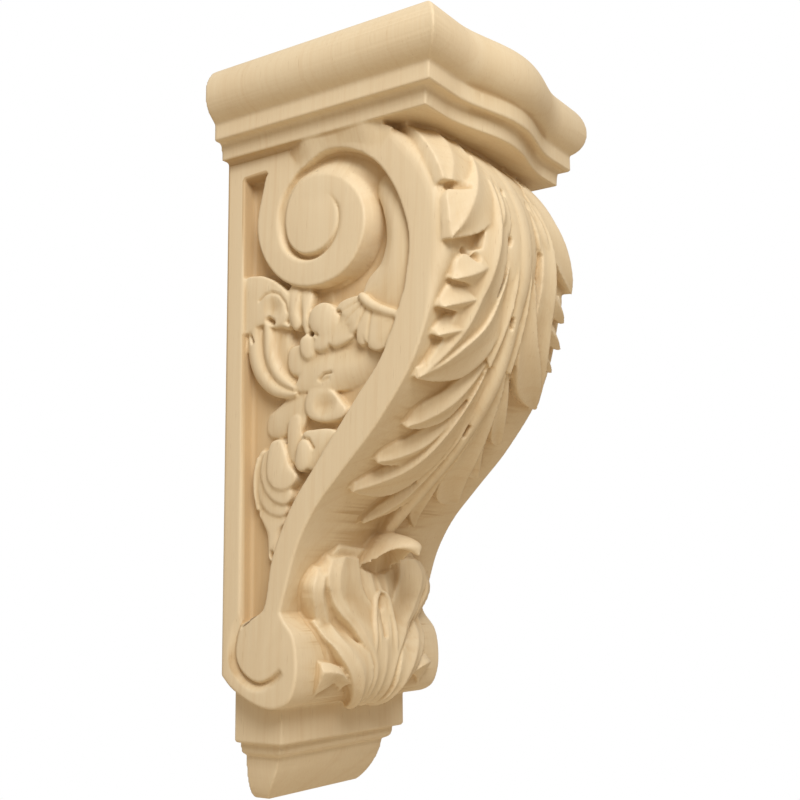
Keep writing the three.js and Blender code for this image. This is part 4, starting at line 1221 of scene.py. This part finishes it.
class CORBEL_OT_finish(bpy.types.Operator):
    """Make one piece of the block and its leaves, work the fine cuts, sand it and give it its wood"""

    bl_idname = "corbel.finish"
    bl_label = "Sand and Finish"

    def execute(self, context):
        parts = [bpy.data.objects[name] for name in (PIECE, "side_foliage", "front_leaf", "lower_leaf")]
        block = sanded(parts, layout_of(context))
        block.data.materials.clear()
        block.data.materials.append(wood_of(context))
        if not block.data.polygons:
            raise RuntimeError("the corbel came out empty")
        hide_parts(NODE)
        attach(block, "root")
        return {"FINISHED"}


def work_tools(mesh, layout):
    """Makes every drill hole, knife line and dish, on both sides"""
    points = read_vectors(mesh, "co").astype(float) / MM + TO_FOOT
    normals = read_vectors(mesh, "normal")
    skin = BVHTree.FromPolygons(points.tolist(), [tuple(p.vertices) for p in mesh.polygons])
    for surface, marks in TOOL_MARKS.items():
        for (line, half, depth), sign in product(marks, (1, -1)):
            place = layout.surface(surface, sign)
            above, below = (place(*np.asarray(line, float).T, lift) for lift in (STRUCK_FROM, 0))
            struck = [skin.ray_cast(Vector(a), Vector(b - a))[0] for a, b in zip(above, below)]
            mark(points, normals, [tuple(hit) if hit else tuple(b) for hit, b in zip(struck, below)], half, depth)
    write_places(mesh, (points - TO_FOOT) * MM)


def sanded(parts, layout):
    """Makes one piece of the block and its leaves, eases every edge as sanding does and thins the flat stretches"""
    whole = Shells()
    for part in parts:
        whole.take(part)
    block = whole.to_object(PIECE)
    worked(block, "REMESH", mode="VOXEL", voxel_size=layout.shape.grain_step * MM)
    work_tools(block.data, layout)
    worked(block, "SMOOTH", factor=0.5, iterations=2)
    worked(block, "DECIMATE", ratio=min(1.0, MOST_TRIANGLES / (2 * len(block.data.polygons))))
    keep_in_block(block.data)
    mark_hollows_for_painted_shade(block.data)
    for polygon in block.data.polygons:
        polygon.use_smooth = True
    return block


def keep_in_block(mesh):
    """Planes off whatever stands out of the block that the corbel is cut from"""
    write_places(mesh, np.clip(read_vectors(mesh, "co"), np.array(LOW) + MARGIN, np.array(HIGH) - MARGIN))


def mark_hollows_for_painted_shade(mesh):
    """Stores how far each point lies in a hollow or on an edge, in millimetres, for the wood's painted shade in the
    hollows and its paler edges
    """
    count = len(mesh.vertices)
    ends = np.empty(len(mesh.edges) * 2, np.int32)
    mesh.edges.foreach_get("vertices", ends)
    a, b = ends.reshape(-1, 2).T
    near = np.maximum(np.bincount(a, minlength=count) + np.bincount(b, minlength=count), 1)[:, None]
    points, normals = read_vectors(mesh, "co").astype(float), read_vectors(mesh, "normal")
    eased = points.copy()
    hollow = np.zeros(count)
    for rounds, weight in HOLLOW_ROUNDS:
        for _ in range(rounds):
            total = [np.bincount(a, eased[b, k], count) + np.bincount(b, eased[a, k], count) for k in range(3)]
            eased = 0.4 * eased + 0.6 * np.column_stack(total) / near
        hollow += np.einsum("ij,ij->i", eased - points, normals) / MM * weight
    layer = mesh.attributes.new("hollow", "FLOAT", "POINT")
    layer.data.foreach_set("value", np.clip(hollow, -1, 2).astype(np.float32))


class CORBEL_OT_studio(bpy.types.Operator):
    """Lay the floor and set the lights and the camera"""

    bl_idname = "corbel.studio"
    bl_label = "Set the Studio"

    def execute(self, context):
        studio = context.scene.corbel_studio
        self.lay_floor(studio)
        self.light_world(context, studio)
        self.hang_light(studio)
        self.set_camera(context, studio)
        context.scene.view_settings.view_transform = "Standard"
        return {"FINISHED"}

    def lay_floor(self, studio):
        reach, height = studio.floor_reach, LOW[2] - studio.floor_drop
        corners = [(x * reach, y * reach, height) for x, y in ((-1, -1), (1, -1), (1, 1), (-1, 1))]
        floor = put("floor", mesh_of("floor", corners, [], [(0, 1, 2, 3)]))
        tree = Tree(bpy.data.materials.new("pale_floor"))
        paint = tree.nodes["Principled BSDF"].inputs
        paint["Base Color"].default_value = (*studio.floor_colour, 1)
        paint["Roughness"].default_value = 0.9
        floor.data.materials.append(bpy.data.materials["pale_floor"])

    def light_world(self, context, studio):
        """Soft light from all round, warmer from below, with a plain white ground behind the bracket"""
        world = bpy.data.worlds.new("studio")
        context.scene.world = world
        tree = Tree(world)
        around = tree.node("ShaderNodeTexCoord", output="Generated")
        height = tree.node("ShaderNodeSeparateXYZ", output="Z", Vector=around)
        above = tree.node("ShaderNodeMapRange", Value=height, From_Min=-1.0)
        shade = tree.mixed(above, studio.fill_below, studio.fill_above)
        fill = tree.node("ShaderNodeBackground", Color=shade, Strength=studio.fill)
        seen = tree.node("ShaderNodeBackground", Color=(1, 1, 1, 1))
        watched = tree.node("ShaderNodeLightPath", output="Is Camera Ray")
        mix = tree.nodes.new("ShaderNodeMixShader")
        for slot, value in zip(mix.inputs, (watched, fill, seen)):
            join(tree.tree, value, slot)
        join(tree.tree, Value(tree.tree, mix.outputs[0]), tree.nodes["World Output"].inputs["Surface"])

    def hang_light(self, studio):
        data = bpy.data.lights.new("key", "AREA")
        data.size, data.energy, data.color = studio.key_size, studio.key_power, studio.key_colour
        light = put("key", data)
        light.location = studio.key_at
        light.rotation_euler = (-Vector(studio.key_at)).to_track_quat("-Z", "Y").to_euler()

    def set_camera(self, context, studio):
        yaw, pitch, roll = studio.camera_yaw, studio.camera_pitch, studio.camera_roll
        ahead = Vector((-math.sin(yaw) * math.cos(pitch), math.cos(yaw) * math.cos(pitch), math.sin(pitch)))
        right = Vector((math.cos(yaw), math.sin(yaw), 0))
        up = right.cross(ahead)
        right, up = right * math.cos(roll) + up * math.sin(roll), up * math.cos(roll) - right * math.sin(roll)
        data = bpy.data.cameras.new("camera")
        data.sensor_width, data.lens = studio.sensor, studio.focal
        camera = put("camera", data)
        camera.matrix_world = Matrix.Translation(studio.camera_at) @ Matrix((right, up, -ahead)).transposed().to_4x4()
        context.scene.camera = camera


class CORBEL_PT_panel(bpy.types.Panel):
    """Lists the steps that make the corbel"""

    bl_idname = "CORBEL_PT_panel"
    bl_label = "Corbel"
    bl_space_type = "VIEW_3D"
    bl_region_type = "UI"
    bl_category = "Corbel"

    def draw(self, context):
        for operator in OPERATORS:
            self.layout.operator(operator.bl_idname)


GROUPS = {"corbel_shape": CorbelShape, "corbel_wood": CorbelWood, "corbel_studio": CorbelStudio}
OPERATORS = (
    CORBEL_OT_studio,
    CORBEL_OT_block,
    CORBEL_OT_side_foliage,
    CORBEL_OT_front_leaf,
    CORBEL_OT_lower_leaf,
    CORBEL_OT_finish,
)


def register():
    for group in GROUPS.values():
        bpy.utils.register_class(group)
    for name, group in GROUPS.items():
        setattr(bpy.types.Scene, name, PointerProperty(type=group))
    for item in (*OPERATORS, CORBEL_PT_panel):
        bpy.utils.register_class(item)


def unregister():
    for item in (CORBEL_PT_panel, *reversed(OPERATORS)):
        bpy.utils.unregister_class(item)
    for name in GROUPS:
        delattr(bpy.types.Scene, name)
    for group in reversed(list(GROUPS.values())):
        bpy.utils.unregister_class(group)


def main():
    register()
    bpy.ops.corbel.studio()
    bpy.ops.corbel.block()
    bpy.ops.corbel.side_foliage()
    bpy.ops.corbel.front_leaf()
    bpy.ops.corbel.lower_leaf()
    bpy.ops.corbel.finish()


if __name__ == "__main__":
    main()
